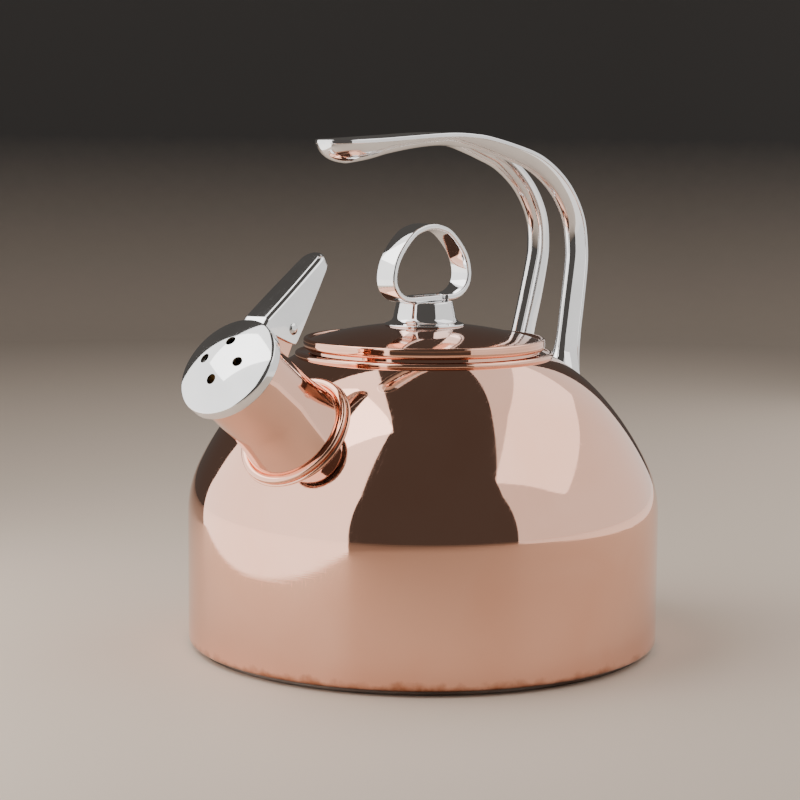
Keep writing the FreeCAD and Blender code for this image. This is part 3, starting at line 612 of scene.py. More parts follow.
def make_mouth():
    """The rolled bead on the shell's edge and the neck inside it, in one outline."""
    low = bead_c[1] - 6.0
    web = 0.6
    corners = [(neck_r, low, 0.4), (neck_r, neck_top, 0.4), (neck_r + neck_t, neck_top, 0.4)]
    corners += [(neck_r + neck_t, bead_c[1] + web, 0.5)] + arc(*bead_c, bead_r, 150, -150, 24)
    corners += [(neck_r + neck_t, bead_c[1] - web), (neck_r + neck_t, low, 0.4)]
    return turned("mouth_bead", rounded(corners), copper, turns=224)


def make_base():
    """The steel disc with its stiffening groove and the flange that sits on the shell's hem."""
    rim_r = wall_r - heel_r - hem_w - 0.05
    top = foot_h + wall_t + 1.2
    groove = rim_r - 31.45
    outline = [(0.0, 0.0), (groove - 0.4, 0.0)] + arc(groove + 1.0, -0.6, 1.0, 143, 37, 8)
    outline += [(groove + 2.4, 0.0), (rim_r - 16.0, 0.0)]
    flange, ledge = rim_r + 1.5, foot_h + wall_t
    outline += rounded([(0.0, 0.0), (rim_r, 0.0, 0.8), (rim_r, ledge), (flange, ledge)])[1:]
    outline += [(flange, top), (0.0, top)]
    return turned("base_disc", outline, base_steel, turns=224)


finished(make_mouth(), "kettle", "copper", "mouth_ring")
finished(make_base(), "kettle", "base_steel", "base_plate")

# %% [markdown]
# ## The lid
# The lid is one shallow dome with a bead rolled round its edge and a narrow side band tucked in below. It
# is almost flat, so it mirrors the whole handle. That reflection is only clean if the dome is a true
# sphere, so its outline is an arc, worked out from the rise and the width. The skirt is a separate ring
# soldered underneath.

# %% Lid
lid_r = mouth_r - 3.0
lid_t = 1.1
lid_roll = 1.0
dome_edge = lid_r - 2 * lid_roll
dome_r = (dome_edge ** 2 + 6.6 ** 2) / (2 * 6.6)
seat_r = neck_r + neck_t
dome_c = neck_top + 0.3 - math.sqrt((dome_r - lid_t) ** 2 - seat_r ** 2)
crown_z = dome_c + dome_r
edge_z = dome_c + math.sqrt(dome_r ** 2 - dome_edge ** 2)


def make_lid():
    """The dome, the bead at its edge and the side band under it, as one closed sheet."""
    edge = math.degrees(math.acos(dome_edge / dome_r))
    hole = math.degrees(math.acos(2.7 / dome_r))
    outer = arc(0.0, dome_c, dome_r, hole, edge, 56)
    bead = arc(lid_r - lid_roll, edge_z, lid_roll, 150, -10, 14)
    band_low = edge_z - 3.4
    band = rounded([(lid_r - 0.1, edge_z - 0.6), (lid_r + 0.1, edge_z - 1.6, 2.0),
                    (lid_r - 0.4, band_low, 0.5), (lid_r - 1.4, band_low, 0.3),
                    (lid_r - 1.3, edge_z - 1.4, 0.5), (lid_r - 3.2, edge_z - 0.9)])[1:-1]
    under = math.degrees(math.acos((lid_r - 3.2) / (dome_r - lid_t)))
    inner = arc(0.0, dome_c, dome_r - lid_t, under, hole, 40)
    return turned("lid_dome_copper", outer + bead + band + inner, lid_copper, turns=256)


def make_skirt():
    """The ring under the lid that drops into the neck and keeps the lid in place."""
    outside = neck_r - 0.4
    low = neck_top - 9.0
    top = dome_c + math.sqrt((dome_r - lid_t) ** 2 - outside ** 2)
    inside = outside - 1.0
    corners = [(outside, low, 0.35), (outside, top + 0.02), (inside, top + 0.25), (inside, low, 0.35)]
    return turned("lid_skirt_copper", rounded(corners), lid_copper, turns=192)


lid = make_lid()
finished(lid, "lid", "copper_lid", "lid_dome")
finished(make_skirt(), "lid", "copper_lid", "lid_skirt")
print("lid crown at %.1f mm" % crown_z)

# %% [markdown]
# The knob stands on a thin chrome flange that sweeps up into a short post. The finger loop is a flat
# strip bent round a rounded triangle. Its two ends don't meet: each one narrows to half the strip's width
# and they lie side by side on the post. So the strip is drawn as a row of sections whose left and right
# edges move separately.

# %% Knob base
post_r = 11.4
flange_r = 15.9
post_top = crown_z + 9.0


def make_knob_base():
    """The flange that follows the dome, and the post that it sweeps up into."""
    drop = dome_r - math.sqrt(dome_r ** 2 - flange_r ** 2)
    rim_z = crown_z - drop + 0.8
    sweep = arc(post_r + 4.3, rim_z + 3.5, 3.3, 250, 185, 12)
    outline = [(3.0, crown_z - 0.05), (9.0, crown_z - 0.2)]
    outline += rounded([(9.0, crown_z - 0.2), (flange_r, rim_z - 0.8, 0.2), (flange_r, rim_z, 0.38),
                        (post_r, rim_z + 0.5)])[1:-1]
    outline += sweep
    outline += rounded([(post_r, rim_z + 3.5), (post_r, post_top, 0.9), (3.0, post_top)], 6)[1:-1]
    outline += [(6.0, post_top), (3.0, post_top)]
    return turned("knob_post", outline, knob_chrome, turns=160)


finished(make_knob_base(), "lid", "chrome_knob", "knob_base")

# %% [markdown]
# A bent strip springs back to even curves, so its middle line must have no kinks. A few points set where
# the loop is wide and where it is high, a smooth line is drawn through them, and then each point is drawn
# a little towards its neighbours, many times over. That is how the flat sides and the round corners
# blend.

# %% Finger loop
strip_w = 9.4
strip_t = 2.3
loop_half, loop_h, loop_wide = 24.6, 31.0, 9.6


def curve_through(points, steps, closed=False):
    """A smooth line through given points, by the Catmull-Rom formula."""
    found = []
    count = len(points)
    last = count if closed else count - 1
    for i in range(last):
        if closed:
            p0, p1, p2, p3 = [Vector(points[(i + k) % count]) for k in (-1, 0, 1, 2)]
        else:
            p1, p2 = Vector(points[i]), Vector(points[i + 1])
            p0 = Vector(points[i - 1]) if i else p1 * 2 - p2
            p3 = Vector(points[i + 2]) if i + 2 < count else p2 * 2 - p1
        for k in range(steps):
            t = k / steps
            found.append(0.5 * (2 * p1 + (p2 - p0) * t + (2 * p0 - 5 * p1 + 4 * p2 - p3) * t ** 2
                                + (3 * p1 - p0 - 3 * p2 + p3) * t ** 3))
    if not closed:
        found.append(Vector(points[-1]))
    return found


def evened(line, passes):
    """Each point drawn towards the middle of its neighbours, the two ends kept."""
    for _ in range(passes):
        inner = [0.25 * a + 0.5 * b + 0.25 * c for a, b, c in zip(line, line[1:], line[2:])]
        line = line[:1] + inner + line[-1:]
    return line


def loop_path():
    """Middle line of the strip, from the end in front, round the loop, to the end behind."""
    half = loop_half - strip_t / 2
    low = post_top + strip_t / 2
    top = post_top + loop_h - strip_t / 2
    wide = post_top + loop_wide
    rise = top - wide
    side = [(0.30, low), (0.62, low + 0.1), (0.88, low + 0.33 * (wide - low)), (1.0, wide),
            (0.89, wide + 0.42 * rise), (0.53, wide + 0.83 * rise), (0.26, wide + 0.96 * rise)]
    left = [(-half * share, z) for share, z in side]
    right = [(-x, z) for x, z in reversed(left)]
    ends = [(7.6, low), (3.0, low)], [(-3.0, low), (-7.6, low)]
    line = curve_through(ends[0] + left + [(0.0, top)] + right + ends[1], 16)
    return evened(line, 24)


def strip_section(width, thick, steps=3):
    """Rounded rectangle, width along Y, as (y, outwards) pairs."""
    w, t = width / 2, thick / 2
    edge = min(0.75, 0.9 * w, 0.9 * t)
    return rounded([(-w, -t, edge), (w, -t, edge), (w, t, edge), (-w, t, edge)], steps)


def ease(t):
    """A smooth step from 0 to 1."""
    t = max(0.0, min(1.0, t))
    return t * t * (3 - 2 * t)


def make_loop():
    """The strip as a row of sections; near each end only the half beside the slit is left."""
    path = loop_path()
    far = [0.0]
    for a, b in zip(path, path[1:]):
        far.append(far[-1] + (b - a).length)
    total = far[-1]
    narrow_run, narrow_ease, slit = 15.4, 1.6, 0.25
    rings = []
    for i, at in enumerate(path):
        ahead = path[min(i + 1, len(path) - 1)]
        behind = path[max(i - 1, 0)]
        along = (ahead - behind).normalized()
        out = Vector((-along.y, along.x))
        from_end = min(far[i], total - far[i])
        edge = (strip_w / 2 + slit) * ease((from_end - narrow_run) / narrow_ease) - slit
        low, high = (-strip_w / 2, edge) if far[i] < total / 2 else (-edge, strip_w / 2)
        tip = min(1.0, math.sqrt(from_end / 2.2 + 0.03))
        section = strip_section((high - low) * tip, strip_t * (0.45 + 0.55 * tip))
        rings.append([(at.x + out.x * n, (high + low) / 2 + y, at.y + out.y * n) for y, n in section])
    points, faces = skin(rings)
    return new_piece("finger_loop", points, faces, knob_chrome)


finished(make_loop(), "lid", "chrome_knob", "knob_loop")

# %% [markdown]
# ## The whistle cap
# The cap is a shallow pressed dome with a short skirt and four steam holes. Behind it sits a small
# chamber with two brass reeds, and a rubber seal that closes on the spout's lip. The dome is one arc
# again. The holes are cut with a Boolean, then a narrow bevel rounds their edges, because a punched edge
# is always broken before plating.

# %% Cap, chamber and seal
cap_r = 20.6
cap_t = 0.8
cap_rise = 5.0
cap_skirt = 3.9
steam_holes, steam_r, steam_ring_r = 4, 2.0, 8.3
dome_cap_r = (cap_r ** 2 + cap_rise ** 2) / (2 * cap_rise)
dome_cap_c = cap_rise - dome_cap_r


def make_cap():
    """The pressed dome with its skirt, pierced by four steam holes."""
    edge = 1.2
    reach = cap_r - edge
    edge_a = math.degrees(math.acos(reach / (dome_cap_r - edge)))
    bend_c = dome_cap_c + (dome_cap_r - edge) * math.sin(math.radians(edge_a))
    outline = arc(0.0, dome_cap_c, dome_cap_r, 90, edge_a, 44)
    outline += arc(reach, bend_c, edge, edge_a, 0, 8)[1:]
    outline += rounded([(cap_r, bend_c), (cap_r, -cap_skirt, 0.3), (cap_r - cap_t, -cap_skirt, 0.3),
                        (cap_r - cap_t, bend_c)])[1:-1]
    inner_a = math.degrees(math.acos((cap_r - cap_t) / (dome_cap_r - cap_t)))
    outline += arc(0.0, dome_cap_c, dome_cap_r - cap_t, inner_a, 90, 24)
    cap = turned("whistle_cap_dome", outline, cap_chrome, turns=192, place=spout_frame)
    for i in range(steam_holes):
        t = 2 * math.pi * i / steam_holes
        out = Vector((math.cos(t), math.sin(t), 0)) * steam_ring_r
        at = spout_frame @ Matrix.Translation(out * mm)
        rod = [(0.0, -6.0), (steam_r, -6.0), (steam_r, 12.0), (0.0, 12.0)]
        punch = turned("punch", rod, cap_chrome, 40, at)
        hole = cap.modifiers.new("hole", "BOOLEAN")
        hole.object = punch
        hole.solver = "EXACT"
    bpy.context.view_layer.update()
    punched = bpy.data.meshes.new_from_object(cap.evaluated_get(bpy.context.evaluated_depsgraph_get()))
    for hole in cap.modifiers:
        bpy.data.objects.remove(hole.object)
    cap.modifiers.clear()
    cap.data = punched
    soften(cap, 0.28)
    return cap


def soften(piece, width, angle=40):
    """A narrow bevel on every real edge of the piece, width in millimetres."""
    piece.data.set_sharp_from_angle(angle=math.radians(angle))
    edge = piece.modifiers.new("broken_edges", "BEVEL")
    edge.width = width * mm
    edge.segments = 3
    edge.limit_method = "ANGLE"
    edge.angle_limit = math.radians(angle)
    edge.harden_normals = True


def make_cup():
    """The chamber behind the dome, with a port for the steam and a flange that the cap's skirt holds."""
    top = dome_cap_c + math.sqrt((dome_cap_r - cap_t) ** 2 - 11.9 ** 2)
    corners = [(2.2, -4.2), (11.9, -4.2, 0.5), (11.9, -1.2), (19.2, -1.2, 0.2), (19.2, -0.5, 0.2)]
    corners += [(11.9, -0.5), (11.9, top - 0.05), (11.2, top), (11.2, -3.5, 0.3), (2.2, -3.5)]
    return turned("whistle_chamber", rounded(corners), plain_steel, turns=96, place=spout_frame)


def make_seal():
    """The flat rubber ring that closes on the spout's lip."""
    corners = [(14.5, -2.4, 0.4), (18.8, -2.4, 0.4), (18.8, -1.2, 0.2), (14.5, -1.2, 0.2)]
    return turned("cap_seal_ring", rounded(corners), rubber, turns=96, place=spout_frame)


finished(make_cap(), "whistle", "chrome_cap", "whistle_cap")
finished(make_cup(), "whistle", "steel", "whistle_cup")
finished(make_seal(), "whistle", "silicone", "cap_seal")

# %% [markdown]
# The thumb lever is folded from one sheet: a flat web and two cheeks that are deep at the hinge and
# shallow at the tip. It is built from ribs. Each rib is the same folded section, from the middle of the
# web out over the rounded fold and down the cheek, then back up the inside. At the tip the ribs fan round
# one centre.

# %% Cap lever
lever_root = Vector((cap_r + 2.0, 0, -1.4))
lever_tip = Vector((cap_r + 41.0, 0, -13.6))
lever_run = (lever_tip - lever_root).normalized()
lever_down = Vector((lever_run.z, 0, -lever_run.x))
lever_half, tip_half = 6.4, 5.6


def cheek_depth(u):
    """Depth of the cheek below the web: rising fast to the heel, then falling slowly to the tip."""
    front = 4.6 + 1.58 * (u + 2.6)
    rear = 17.9 - 0.41 * (u - 6.0)
    return 0.5 * (front + rear) - math.sqrt(0.25 * (front - rear) ** 2 + 0.6)


def lever_rib(u, half, centre, out):
    """Points of one folded section; out is the direction from the middle of the web to its edge."""
    drop = max(0.0, -0.31 * u)
    deep = cheek_depth(u)
    corners = [(0.0, drop), (half, drop, 2.3), (half, deep, 0.3), (half - 1.0, deep, 0.3),
               (half - 1.0, drop + 1.0, 1.3), (0.0, drop + 1.0)]
    return [centre + out * across + lever_down * down for across, down in rounded(corners, 8)]


def make_lever():
    """Ribs down one side of the lever, round its tip and back up the other side, joined by faces."""
    length = (lever_tip - lever_root).length
    turn_at = length - tip_half
    side = [-3.0, -2.2, -1.5, -0.9, -0.4, 0.0, 0.5, 1.2, 2.0, 3.0, 3.8, 4.5, 5.1, 5.7, 6.3, 6.9, 7.6, 8.5]
    side += [8.5 + (turn_at - 8.5) * k / 14 for k in range(1, 15)]
    ribs = []
    left, ahead = Vector((0, -1, 0)), lever_run
    for u in side:
        half = lever_half - (lever_half - tip_half) * ease((u - 7.0) / (turn_at - 7.0) * 0.5) * 2
        ribs.append((u, half, lever_root + lever_run * u, left))
    for k in range(1, 24):
        t = math.pi * k / 24
        out = left * math.cos(t) + ahead * math.sin(t)
        ribs.append((turn_at + tip_half * math.sin(t), tip_half, lever_root + lever_run * turn_at, out))
    ribs += [(u, half, centre, -left) for u, half, centre, _ in reversed(ribs[:len(side)])]
    grid = [lever_rib(*rib) for rib in ribs]
    rows = len(grid[0])
    points = [p for rib in grid for p in rib]
    faces = []
    for i in range(len(grid) - 1):
        for j in range(rows - 1):
            a = i * rows + j
            faces.append((a, a + 1, a + rows + 1, a + rows))
    faces.append(tuple(range(rows)) + tuple(range(len(points) - 1, len(points) - 1 - rows, -1)))
    return new_piece("thumb_lever", points, faces, cap_chrome, spout_frame)


finished(make_lever(), "whistle", "chrome_cap", "cap_lever")

# %% [markdown]
# The hinge turns on a pin with a domed rivet head at each end. It passes through the lever's cheeks and
# through the ears of a small copper saddle, which is soldered on the spout. The saddle is a bent strip of
# sheet and the ears are flat plates, and each of them gets a narrow bevel, because cut sheet is always
# filed smooth.

# %% Pin and bracket
pin_local = Vector((pin_up, 0, -pin_back))
sideways = Matrix.Rotation(math.radians(-90), 4, "X")


def make_pin():
    """The pin and its two domed heads, turned about its own length."""
    head_r, head_t, shank = 2.3, 0.9, 1.5
    ball = (head_r ** 2 + head_t ** 2) / (2 * head_t)
    centre = lever_half + head_t - ball
    low = math.degrees(math.asin((lever_half - centre) / ball))
    under = lever_half - 0.12
    head = arc(0.0, centre, ball, 90, low, 8) + [(head_r - 0.15, under), (shank, under)]
    outline = head + [(r, -z) for r, z in reversed(head)]
    place = spout_frame @ Matrix.Translation(pin_local * mm) @ sideways
    return turned("hinge_rivet", outline, cap_chrome, 48, place)


def plate(name, outline, low, high, finish, place):
    """A flat outline of (x, z) points given thickness along Y."""
    near = [(x, low, z) for x, z in outline]
    far = [(x, high, z) for x, z in outline]
    points, faces = skin([near, far])
    piece = new_piece(name, points, faces, finish, place)
    soften(piece, 0.22)
    return piece


def make_bracket():
    """The saddle, a strip bent round the tube, and the two ears that carry the pin."""
    front, back, ear_out, ear_t = -4.9, -20.4, 5.1, 1.0
    saddle_r, saddle_half, eye_r = tube_r + 1.0, 5.16, 3.6
    turns = [saddle_half / saddle_r * (k - 12) / 12 for k in range(25)]
    outside = [(saddle_r * math.cos(t), saddle_r * math.sin(t)) for t in turns]
    inside = [(x * tube_r / saddle_r, y) for x, y in reversed(outside)]
    rings = [[(x, y, z) for x, y in outside + inside] for z in (front, back)]
    points, faces = skin(rings)
    saddle = new_piece("hinge_saddle", points, faces, fitting_copper, spout_frame)
    soften(saddle, 0.2)
    outline = [(tube_r - 0.7, front), (tube_r - 0.7, back)] + arc(pin_up, -pin_back, eye_r, -90, 90, 20)
    pieces = [saddle]
    for name, side in (("hinge_ear_near", -1), ("hinge_ear_far", 1)):
        y = side * (ear_out - ear_t / 2)
        pieces.append(plate(name, outline, y - ear_t / 2, y + ear_t / 2, fitting_copper, spout_frame))
    return pieces


finished(make_pin(), "whistle", "chrome_cap", "hinge_pin")
for piece in make_bracket():
    finished(piece, "kettle", "copper_fittings", "hinge_bracket")

# %% [markdown]
# A torsion spring holds the cap shut. It is a true helix round the pin, with two straight legs that leave
# the coil along its tangent. Its points are fixed in the kettle's frame, and it rides on neither body. The
# wire is a ring of points carried along that path.

# %% Spring
def tube_along(name, path, radius, finish, place, sides=12):
    """A round wire along a path; each ring is turned as little as possible from the last one."""
    up = Vector((0, 1, 0))
    rings = []
    for i, at in enumerate(path):
        ahead = (path[min(i + 1, len(path) - 1)] - path[max(i - 1, 0)]).normalized()
        up = (up - ahead * up.dot(ahead)).normalized()
        across = ahead.cross(up)
        size = radius * (0.55 if i in (0, len(path) - 1) else 1.0)
        angles = [2 * math.pi * k / sides for k in range(sides)]
        rings.append([at + (up * math.cos(t) + across * math.sin(t)) * size for t in angles])
    points, faces = skin(rings)
    return new_piece(name, points, faces, finish, place)


def make_spring():
    """The coil's path with a leg at each end, wrapped in wire."""
    wire, coil, half = 0.43, 2.2, 1.8
    turns, steps = 4, 36
    path = []
    first = math.radians(131)
    total = -2 * math.pi * turns + math.radians(1)
    for k in range(turns * steps + 1):
        share = k / (turns * steps)
        t = first + total * share
        path.append(pin_local + Vector((coil * math.cos(t), -half + 2 * half * share, coil * math.sin(t))))
    lower = Vector((math.cos(math.radians(41)), 0, math.sin(math.radians(41))))
    upper = Vector((math.cos(math.radians(42)), 0, math.sin(math.radians(42))))
    leg_in = [path[0] - lower * length for length in (8.5, 8.3, 5.5, 2.7)]
    leg_out = [path[-1] + upper * length for length in (3.0, 6.0, 8.7, 9.0)]
    return tube_along("torsion_spring", leg_in + path + leg_out, wire, plain_steel, spout_frame)


spring = settled(make_spring())
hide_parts("hinge_spring")
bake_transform(spring)
print("spring has", len(spring.data.vertices), "points and bends from the spout to the lever")

# %% [markdown]
# ## The handle
# The handle is one casting: a boat-shaped thumb end, a bar, and a fork whose two legs run down to trumpet
# feet on the shoulder. Its outside is nearly flat with crisp sides, and its underside is rounded for the
# fingers. It is symmetric, so only the half with Y above zero is drawn, as a row of D-shaped sections,
# and then mirrored. Where the halves touch, the faces between them are removed, so the fork opens out of
# one solid bar.

# %% Handle sections
apex_z = mouth_z + 89.1
foot_z = 98.24
foot_x, foot_y = 72.8, 15.6
bar_half, bar_deep, leg_half = 9.6, 5.2, 4.7
leg_way = Vector((-0.655, 0, -0.755))


def handle_stations():
    """x, z of the middle of the section, y, tilt, half width, half depth, joined share, round share."""
    rows = []
    for k in range(1, 9):
        t = math.radians(6 + 84 * (k - 1) / 7)
        half, deep = 10.8 * math.sin(t), 1.2 + 8.0 * math.sin(t)
        rows.append((-61 + 14 * (1 - math.cos(t)), apex_z - 2.9 + 0.5 * (1 - math.cos(t)), half, deep))
    rows += [(-37, apex_z - 2.0, 11.0, 8.4), (-27, apex_z - 1.5, 10.4, 7.0)]
    rows += [(-13, apex_z - 0.8, bar_half, 5.8), (-1, apex_z - 0.2, bar_half, bar_deep + 0.1)]
    found = [(x, top - deep / 2, half / 2, -90, half / 2, deep / 2, 1.0, 0.0) for x, top, half, deep in rows]
    fall = apex_z - bar_deep / 2 - foot_z
    legs = ((10.0, 0.000, 0.0, -86, 2.6, 1.0), (19.0, 0.006, 0.5, -83, 2.8, 0.75),
            (28.0, 0.017, 1.2, -80, 3.0, 0.35), (45.0, 0.053, 2.7, -74, 3.2, 0.0),
            (60.5, 0.100, 4.0, -66, 3.4, 0.0), (75.5, 0.193, 4.6, -46, 3.6, 0.0),
            (85.0, 0.315, 5.0, -20, 3.8, 0.0), (87.2, 0.436, 5.4, 0, 4.0, 0.0),
            (86.2, 0.521, 5.9, 9, 4.2, 0.0), (83.0, 0.654, 6.6, 14, 4.4, 0.0),
            (79.4, 0.791, 7.5, 15, 4.5, 0.0))
    inner = bar_half - leg_half
    for x, down, y, tilt, deep, joined in legs:
        width = leg_half if joined < 1 else bar_half / 2
        middle = inner + y if joined < 1 else bar_half / 2
        found.append((x, foot_z + fall * (1 - down), middle, tilt, width, deep, joined, 0.0))
    found.append((foot_x + 4.6, foot_z + 13.5, foot_y - 2.7, 18, 5.7, 5.7, 0.0, 0.45))
    found.append((foot_x + 2.6, foot_z + 7.5, foot_y - 2.0, 28, 7.9, 7.8, 0.0, 0.85))
    found.append((foot_x + 1.0, foot_z + 3.0, foot_y - 1.0, 40, 11.0, 10.8, 0.0, 1.0))
    found.append((foot_x - 0.6, foot_z - 0.6, foot_y, 49, 13.8, 13.8, 0.0, 1.0))
    return found


def eased_rows(rows, steps, passes=3):
    """Rows of numbers joined by a smooth line, then evened out between the two ends."""
    found = [list(row) for row in curve_through(rows, steps)]
    for _ in range(passes):
        for i in range(1, len(found) - 1):
            trio = zip(found[i - 1], found[i], found[i + 1])
            found[i] = [0.25 * a + 0.5 * b + 0.25 * c for a, b, c in trio]
    return found


def belly(q, joined):
    """Share of the depth below the side, for q from 0 at the inner edge to 1 at the outer edge."""
    base = math.sqrt(1 - 0.93 ** 2)
    bar = math.sqrt(max(0.0, 1 - (0.93 * q) ** 2))
    leg = math.sqrt(max(0.0, 1 - (0.93 * (2 * q - 1)) ** 2))
    return (joined * (bar - base) + (1 - joined) * (leg - base)) / (1 - base)


def d_section(middle, half, half_deep, joined, roundness):
    """(y, depth) points of one half's section, depth measured from the flat outside."""
    inner = middle - half
    if inner < 0.2:
        inner = 0.0
    outer = middle + half
    deep = 2 * half_deep
    side = min(0.30 * deep, 1.5)
    ledge = min(0.4, 0.08 * (outer - inner)) * (1 - roundness)
    crisp = min(0.5, 0.3 * half, 0.3 * side)
    crown = 0.02 * (outer - inner)
    corners = [(inner, 0.0, crisp * (1 - joined))]
    for share in (0.25, 0.5, 0.75):
        lift_here = (1 - (2 * share - 1) ** 2) if joined < 0.5 else (1 - share ** 2)
        corners.append((inner + share * (outer - inner), -crown * lift_here, 0.0))
    corners.append((outer, 0.0, crisp))
    corners.append((outer, side, 0.4 * crisp))
    corners.append((outer - ledge, side + 0.1, 0.0))
    for k in range(1, 19):
        q = 1 - k / 19
        across = inner + (outer - ledge - inner) * q
        corners.append((across, side + 0.1 + (deep - side) * belly(q, joined), 0.0))
    corners.append((inner, side + 0.1 + (deep - side) * belly(0.0, joined), 0.0))
    found = []
    for y, down in rounded(corners, 3):
        angle = math.atan2((down - half_deep) / half_deep, (y - middle) / half)
        y = y + (middle + half * math.cos(angle) - y) * roundness
        down = down + (half_deep + half_deep * math.sin(angle) - down) * roundness
        found.append((0.0 if joined > 0.9 and y < 0.05 else y, down))
    return found


print("the handle is drawn through", len(handle_stations()), "sections")

# %% [markdown]
# The sections are now placed in space. The trumpet foot has to land on a curved shoulder, so each point
# of the last section slides along the leg until it meets the shell and stops just under the surface. That
# gives the same scribed joint line that a fitter would grind on the real casting.

# %% Handle
def make_handle():
    """Place the sections, land the feet on the shell, mirror the half and open the fork."""
    rings = []
    for x, z, middle, tilt, half, half_deep, joined, roundness in eased_rows(handle_stations(), 8):
        t = math.radians(tilt)
        outward = Vector((math.cos(t), 0, -math.sin(t)))
        joined = max(0.0, min(1.0, joined))
        section = d_section(middle, half, half_deep, joined, max(0.0, min(1.0, roundness)))
        rings.append([Vector((x, y, z)) + outward * (half_deep - down) for y, down in section])
    way = leg_way
    slides = [onto_shell(p, way) for p in rings[-1]]
    rings.append([p + way * s for p, s in zip(rings[-1], slides)])
    rings[-2] = [p + way * min(0.0, s) for p, s in zip(rings[-2], slides)]
    size = len(rings[0])
    points, faces = skin(rings)
    other = [Vector((p.x, -p.y, p.z)) for p in points]
    faces += [tuple(len(points) + i for i in reversed(face)) for face in faces]
    handle = new_piece("handle_casting", points + other, faces, chrome)
    work = bmesh.new()
    work.from_mesh(handle.data)
    shared = [f for f in work.faces if all(abs(v.co.y) < 1e-7 for v in f.verts)]
    bmesh.ops.delete(work, geom=shared, context="FACES")
    bmesh.ops.recalc_face_normals(work, faces=work.faces)
    work.to_mesh(handle.data)
    work.free()
    handle.data.shade_smooth()
    handle.data.set_sharp_from_angle(angle=math.radians(38))
    print("handle:", len(rings), "sections of", size, "points,", len(shared), "inner faces removed")
    return handle


finished(make_handle(), "kettle", "chrome", "handle")

# %% [markdown]
# The screws, washers and gaskets that hold the handle and the knob sit inside the body and under the lid.
# Their engineering shapes are already exact, so they keep their meshes and only get a finish, each with
# the same fine wear as the larger pieces.

# %% Small inner parts
# The reed plate and reeds take the dark brass, which is painted shade for the hollow behind the steam holes.
small_parts = {
    "handle_screws": plain_steel, "handle_washers": plain_steel, "knob_screw": plain_steel,
    "knob_washer": plain_steel, "handle_gaskets": rubber, "reed_plate": shade_dark_brass, "reeds": shade_dark_brass,
}
for name, finish in small_parts.items():
    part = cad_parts[name]
    part.data.materials.clear()
    part.data.materials.append(finish)
    print(name, "is finished in", finish.name)

# %% [markdown]
# ## Studio
# A mirror has no colour of its own to show: it shows the room. So the light here is a set of large soft
# panels, placed where the copper should show a pale band, with darkness between them for contrast. The
# floor is plain and pale, and a seamless sweep rises behind it. The sweep is hidden from reflections, to
# keep them clean.

# %% Floor and sweep
def stage_finish(name, low, high, bottom, top):
    """Matt paper with a faint grain, whose colour changes from low to high between two heights in metres."""
    finish, shader, add, link = new_finish(name)
    place = add("ShaderNodeTexCoord").outputs["Object"]
    split = add("ShaderNodeSeparateXYZ", {0: place})
    height = add("ShaderNodeMapRange", {"Value": split.outputs[2], "From Min": bottom, "From Max": top})
    grain = add("ShaderNodeTexNoise", {"Vector": place, "Scale": 60.0, "Detail": 6.0})
    mixed = add("ShaderNodeMath", {0: grain.outputs[0], 1: 0.05, 2: height.outputs[0]},
                operation="MULTIPLY_ADD")
    link(ramp(add, mixed.outputs[0], (0.0, low), (1.0, high)), shader.inputs["Base Color"])
    shader.inputs["Roughness"].default_value = 0.62
    return finish


def open_turned(name, outline, finish, turns):
    """An open line of (radius, height) points spun round the Z axis into a sheet without thickness."""
    rings = []
    for i in range(turns):
        t = 2 * math.pi * i / turns
        rings.append([(r * math.cos(t), r * math.sin(t), z) for r, z in outline])
    size = len(outline)
    points = [p for ring in rings for p in ring]
    faces = []
    for i in range(turns):
        a, b = i * size, ((i + 1) % turns) * size
        faces += [(a + j, a + j + 1, b + j + 1, b + j) for j in range(size - 1)]
    return new_piece(name, points, faces, finish)


floor_tone = (0.72, 0.60, 0.50)
wall_tone = (0.105, 0.100, 0.097)
floor = open_turned("studio_floor", [(0.0, 0.0), (400.0, 0.0), (1300.0, 0.0)],
                    stage_finish("floor_finish", floor_tone, floor_tone, 0.0, 1.0), 96)
sweep_line = [(1300.0, 0.0)] + arc(1300.0, 500.0, 500.0, -90, 0, 16)[1:] + [(1800.0, 2200.0)]
sweep_paper = stage_finish("sweep_finish", floor_tone, wall_tone, 0.0, 0.20)
backdrop = open_turned("studio_sweep", sweep_line, sweep_paper, 96)
backdrop.visible_glossy = False
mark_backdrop(floor, backdrop)
print("floor and sweep are in place")

# %% [markdown]
# The camera stands a little above the kettle's middle, in front and to the side of the spout, with a long
# lens so that the body keeps its true proportions. It is turned a little about its own axis, as a
# hand-set tripod is.

# %% Camera
camera_at = Vector((-0.690, -0.572, 0.209))
look_at = Vector((-0.0055, 0.0079, 0.0986))
lens = bpy.data.cameras.new("studio_camera")
lens.lens = 100.6
lens.sensor_width = 36.0
camera = bpy.data.objects.new("studio_camera", lens)
bpy.context.scene.collection.objects.link(camera)
aim = (look_at - camera_at).to_track_quat("-Z", "Y").to_matrix().to_4x4()
camera.matrix_world = Matrix.Translation(camera_at) @ aim @ Matrix.Rotation(math.radians(0.4), 4, "Z")
bpy.context.scene.camera = camera
view_flat = Vector((look_at.x - camera_at.x, look_at.y - camera_at.y, 0)).normalized()
view_right = Vector((view_flat.y, -view_flat.x, 0))
print("the camera is %.2f m from the kettle" % (look_at - camera_at).length)

# %% [markdown]
# Two soft panels stand on the floor, one on each side of the view, and two hang overhead, face down. The
# gap between them is what the copper shows as a dark band down its middle. Their places are given
# relative to the camera's view: side is to the right of the view, and near is towards the camera. How
# bright a panel's face looks, times its area and pi, is the power that its light needs.

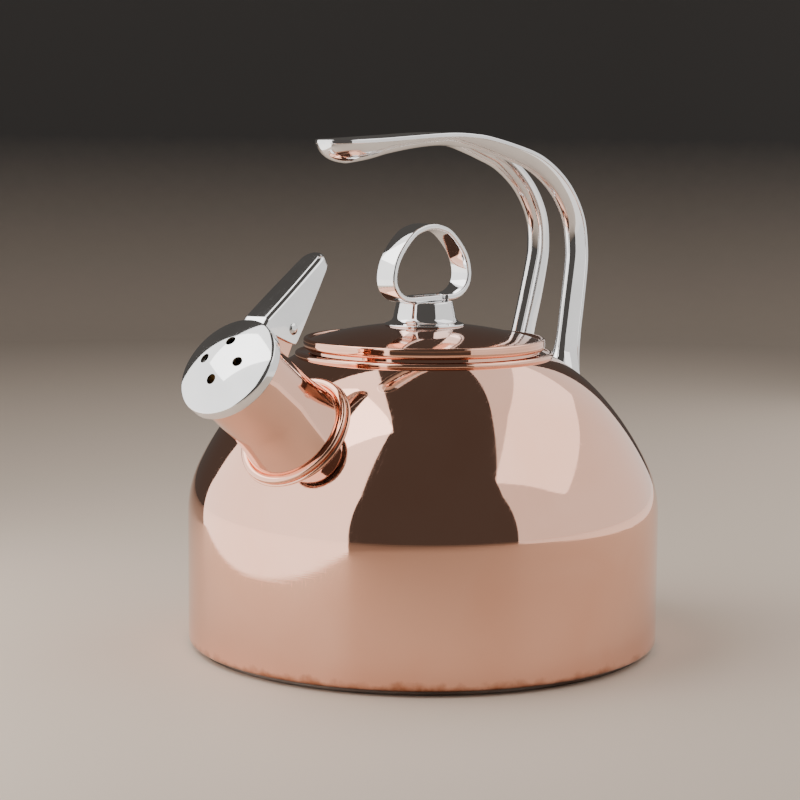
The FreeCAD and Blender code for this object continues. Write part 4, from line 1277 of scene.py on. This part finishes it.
# %% Lights
def hang_card(name, middle, across, rise, width, height, radiance):
    """A soft card: its middle, the directions of its width and height, and how bright its face looks."""
    card = bpy.data.lights.new(name, "AREA")
    card.shape = "RECTANGLE"
    card.size = width
    card.size_y = height
    card.energy = radiance * math.pi * width * height
    card.color = (1.0, 0.985, 0.965)
    lamp = bpy.data.objects.new(name, card)
    bpy.context.scene.collection.objects.link(lamp)
    behind = across.cross(rise)
    turn = Matrix((across, rise, behind)).transposed()
    lamp.matrix_world = Matrix.Translation(middle) @ turn.to_4x4()
    lamp.visible_camera = False
    print(name, "is %.2f by %.2f m" % (width, height))
    return lamp


def side_card(name, bearing, gap, width, height, radiance):
    """A card that stands on the floor; bearing is its direction from the kettle, 0 towards the camera."""
    t = math.radians(bearing)
    out = -view_flat * math.cos(t) + view_right * math.sin(t)
    up = Vector((0, 0, 1))
    return hang_card(name, out * gap + up * (height / 2), up.cross(out), up, width, height, radiance)


def top_card(name, side, near, turned_by, width, length, radiance):
    """A card overhead, face down; side is to the right of the view and near is towards the camera."""
    swing = Matrix.Rotation(math.radians(turned_by), 3, "Z")
    middle = view_right * side - view_flat * near + Vector((0, 0, 0.92))
    return hang_card(name, middle, swing @ view_right, swing @ view_flat, width, length, radiance)


side_card("left_card", -75, 0.27, 0.52, 0.90, 2.1)
side_card("right_card", 98, 0.50, 1.45, 0.90, 1.05)
top_card("left_top_card", -0.70, -0.03, 0, 1.0, 0.78, 2.1)
top_card("right_top_card", 0.815, -0.227, 21.5, 1.0, 1.6, 1.05)
world = bpy.data.worlds.new("studio_world")
world.use_nodes = True
world.node_tree.nodes["Background"].inputs["Color"].default_value = (0.085, 0.078, 0.072, 1.0)
world.node_tree.nodes["Background"].inputs["Strength"].default_value = 1.0
bpy.context.scene.world = world
print("the room beyond the cards is dark and warm")

# %% [markdown]
# Last, the sizes: the box of the dressed kettle and the box of the engineering model are printed side by
# side. The dressed kettle must fill the same box as the engineering model.

# %% Print both boxes
new_box = [list(corner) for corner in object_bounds()]
for name, box in (("engineering", cad_box), ("dressed", new_box)):
    print(name, [round((b - a) / mm, 2) for a, b in zip(*box)])
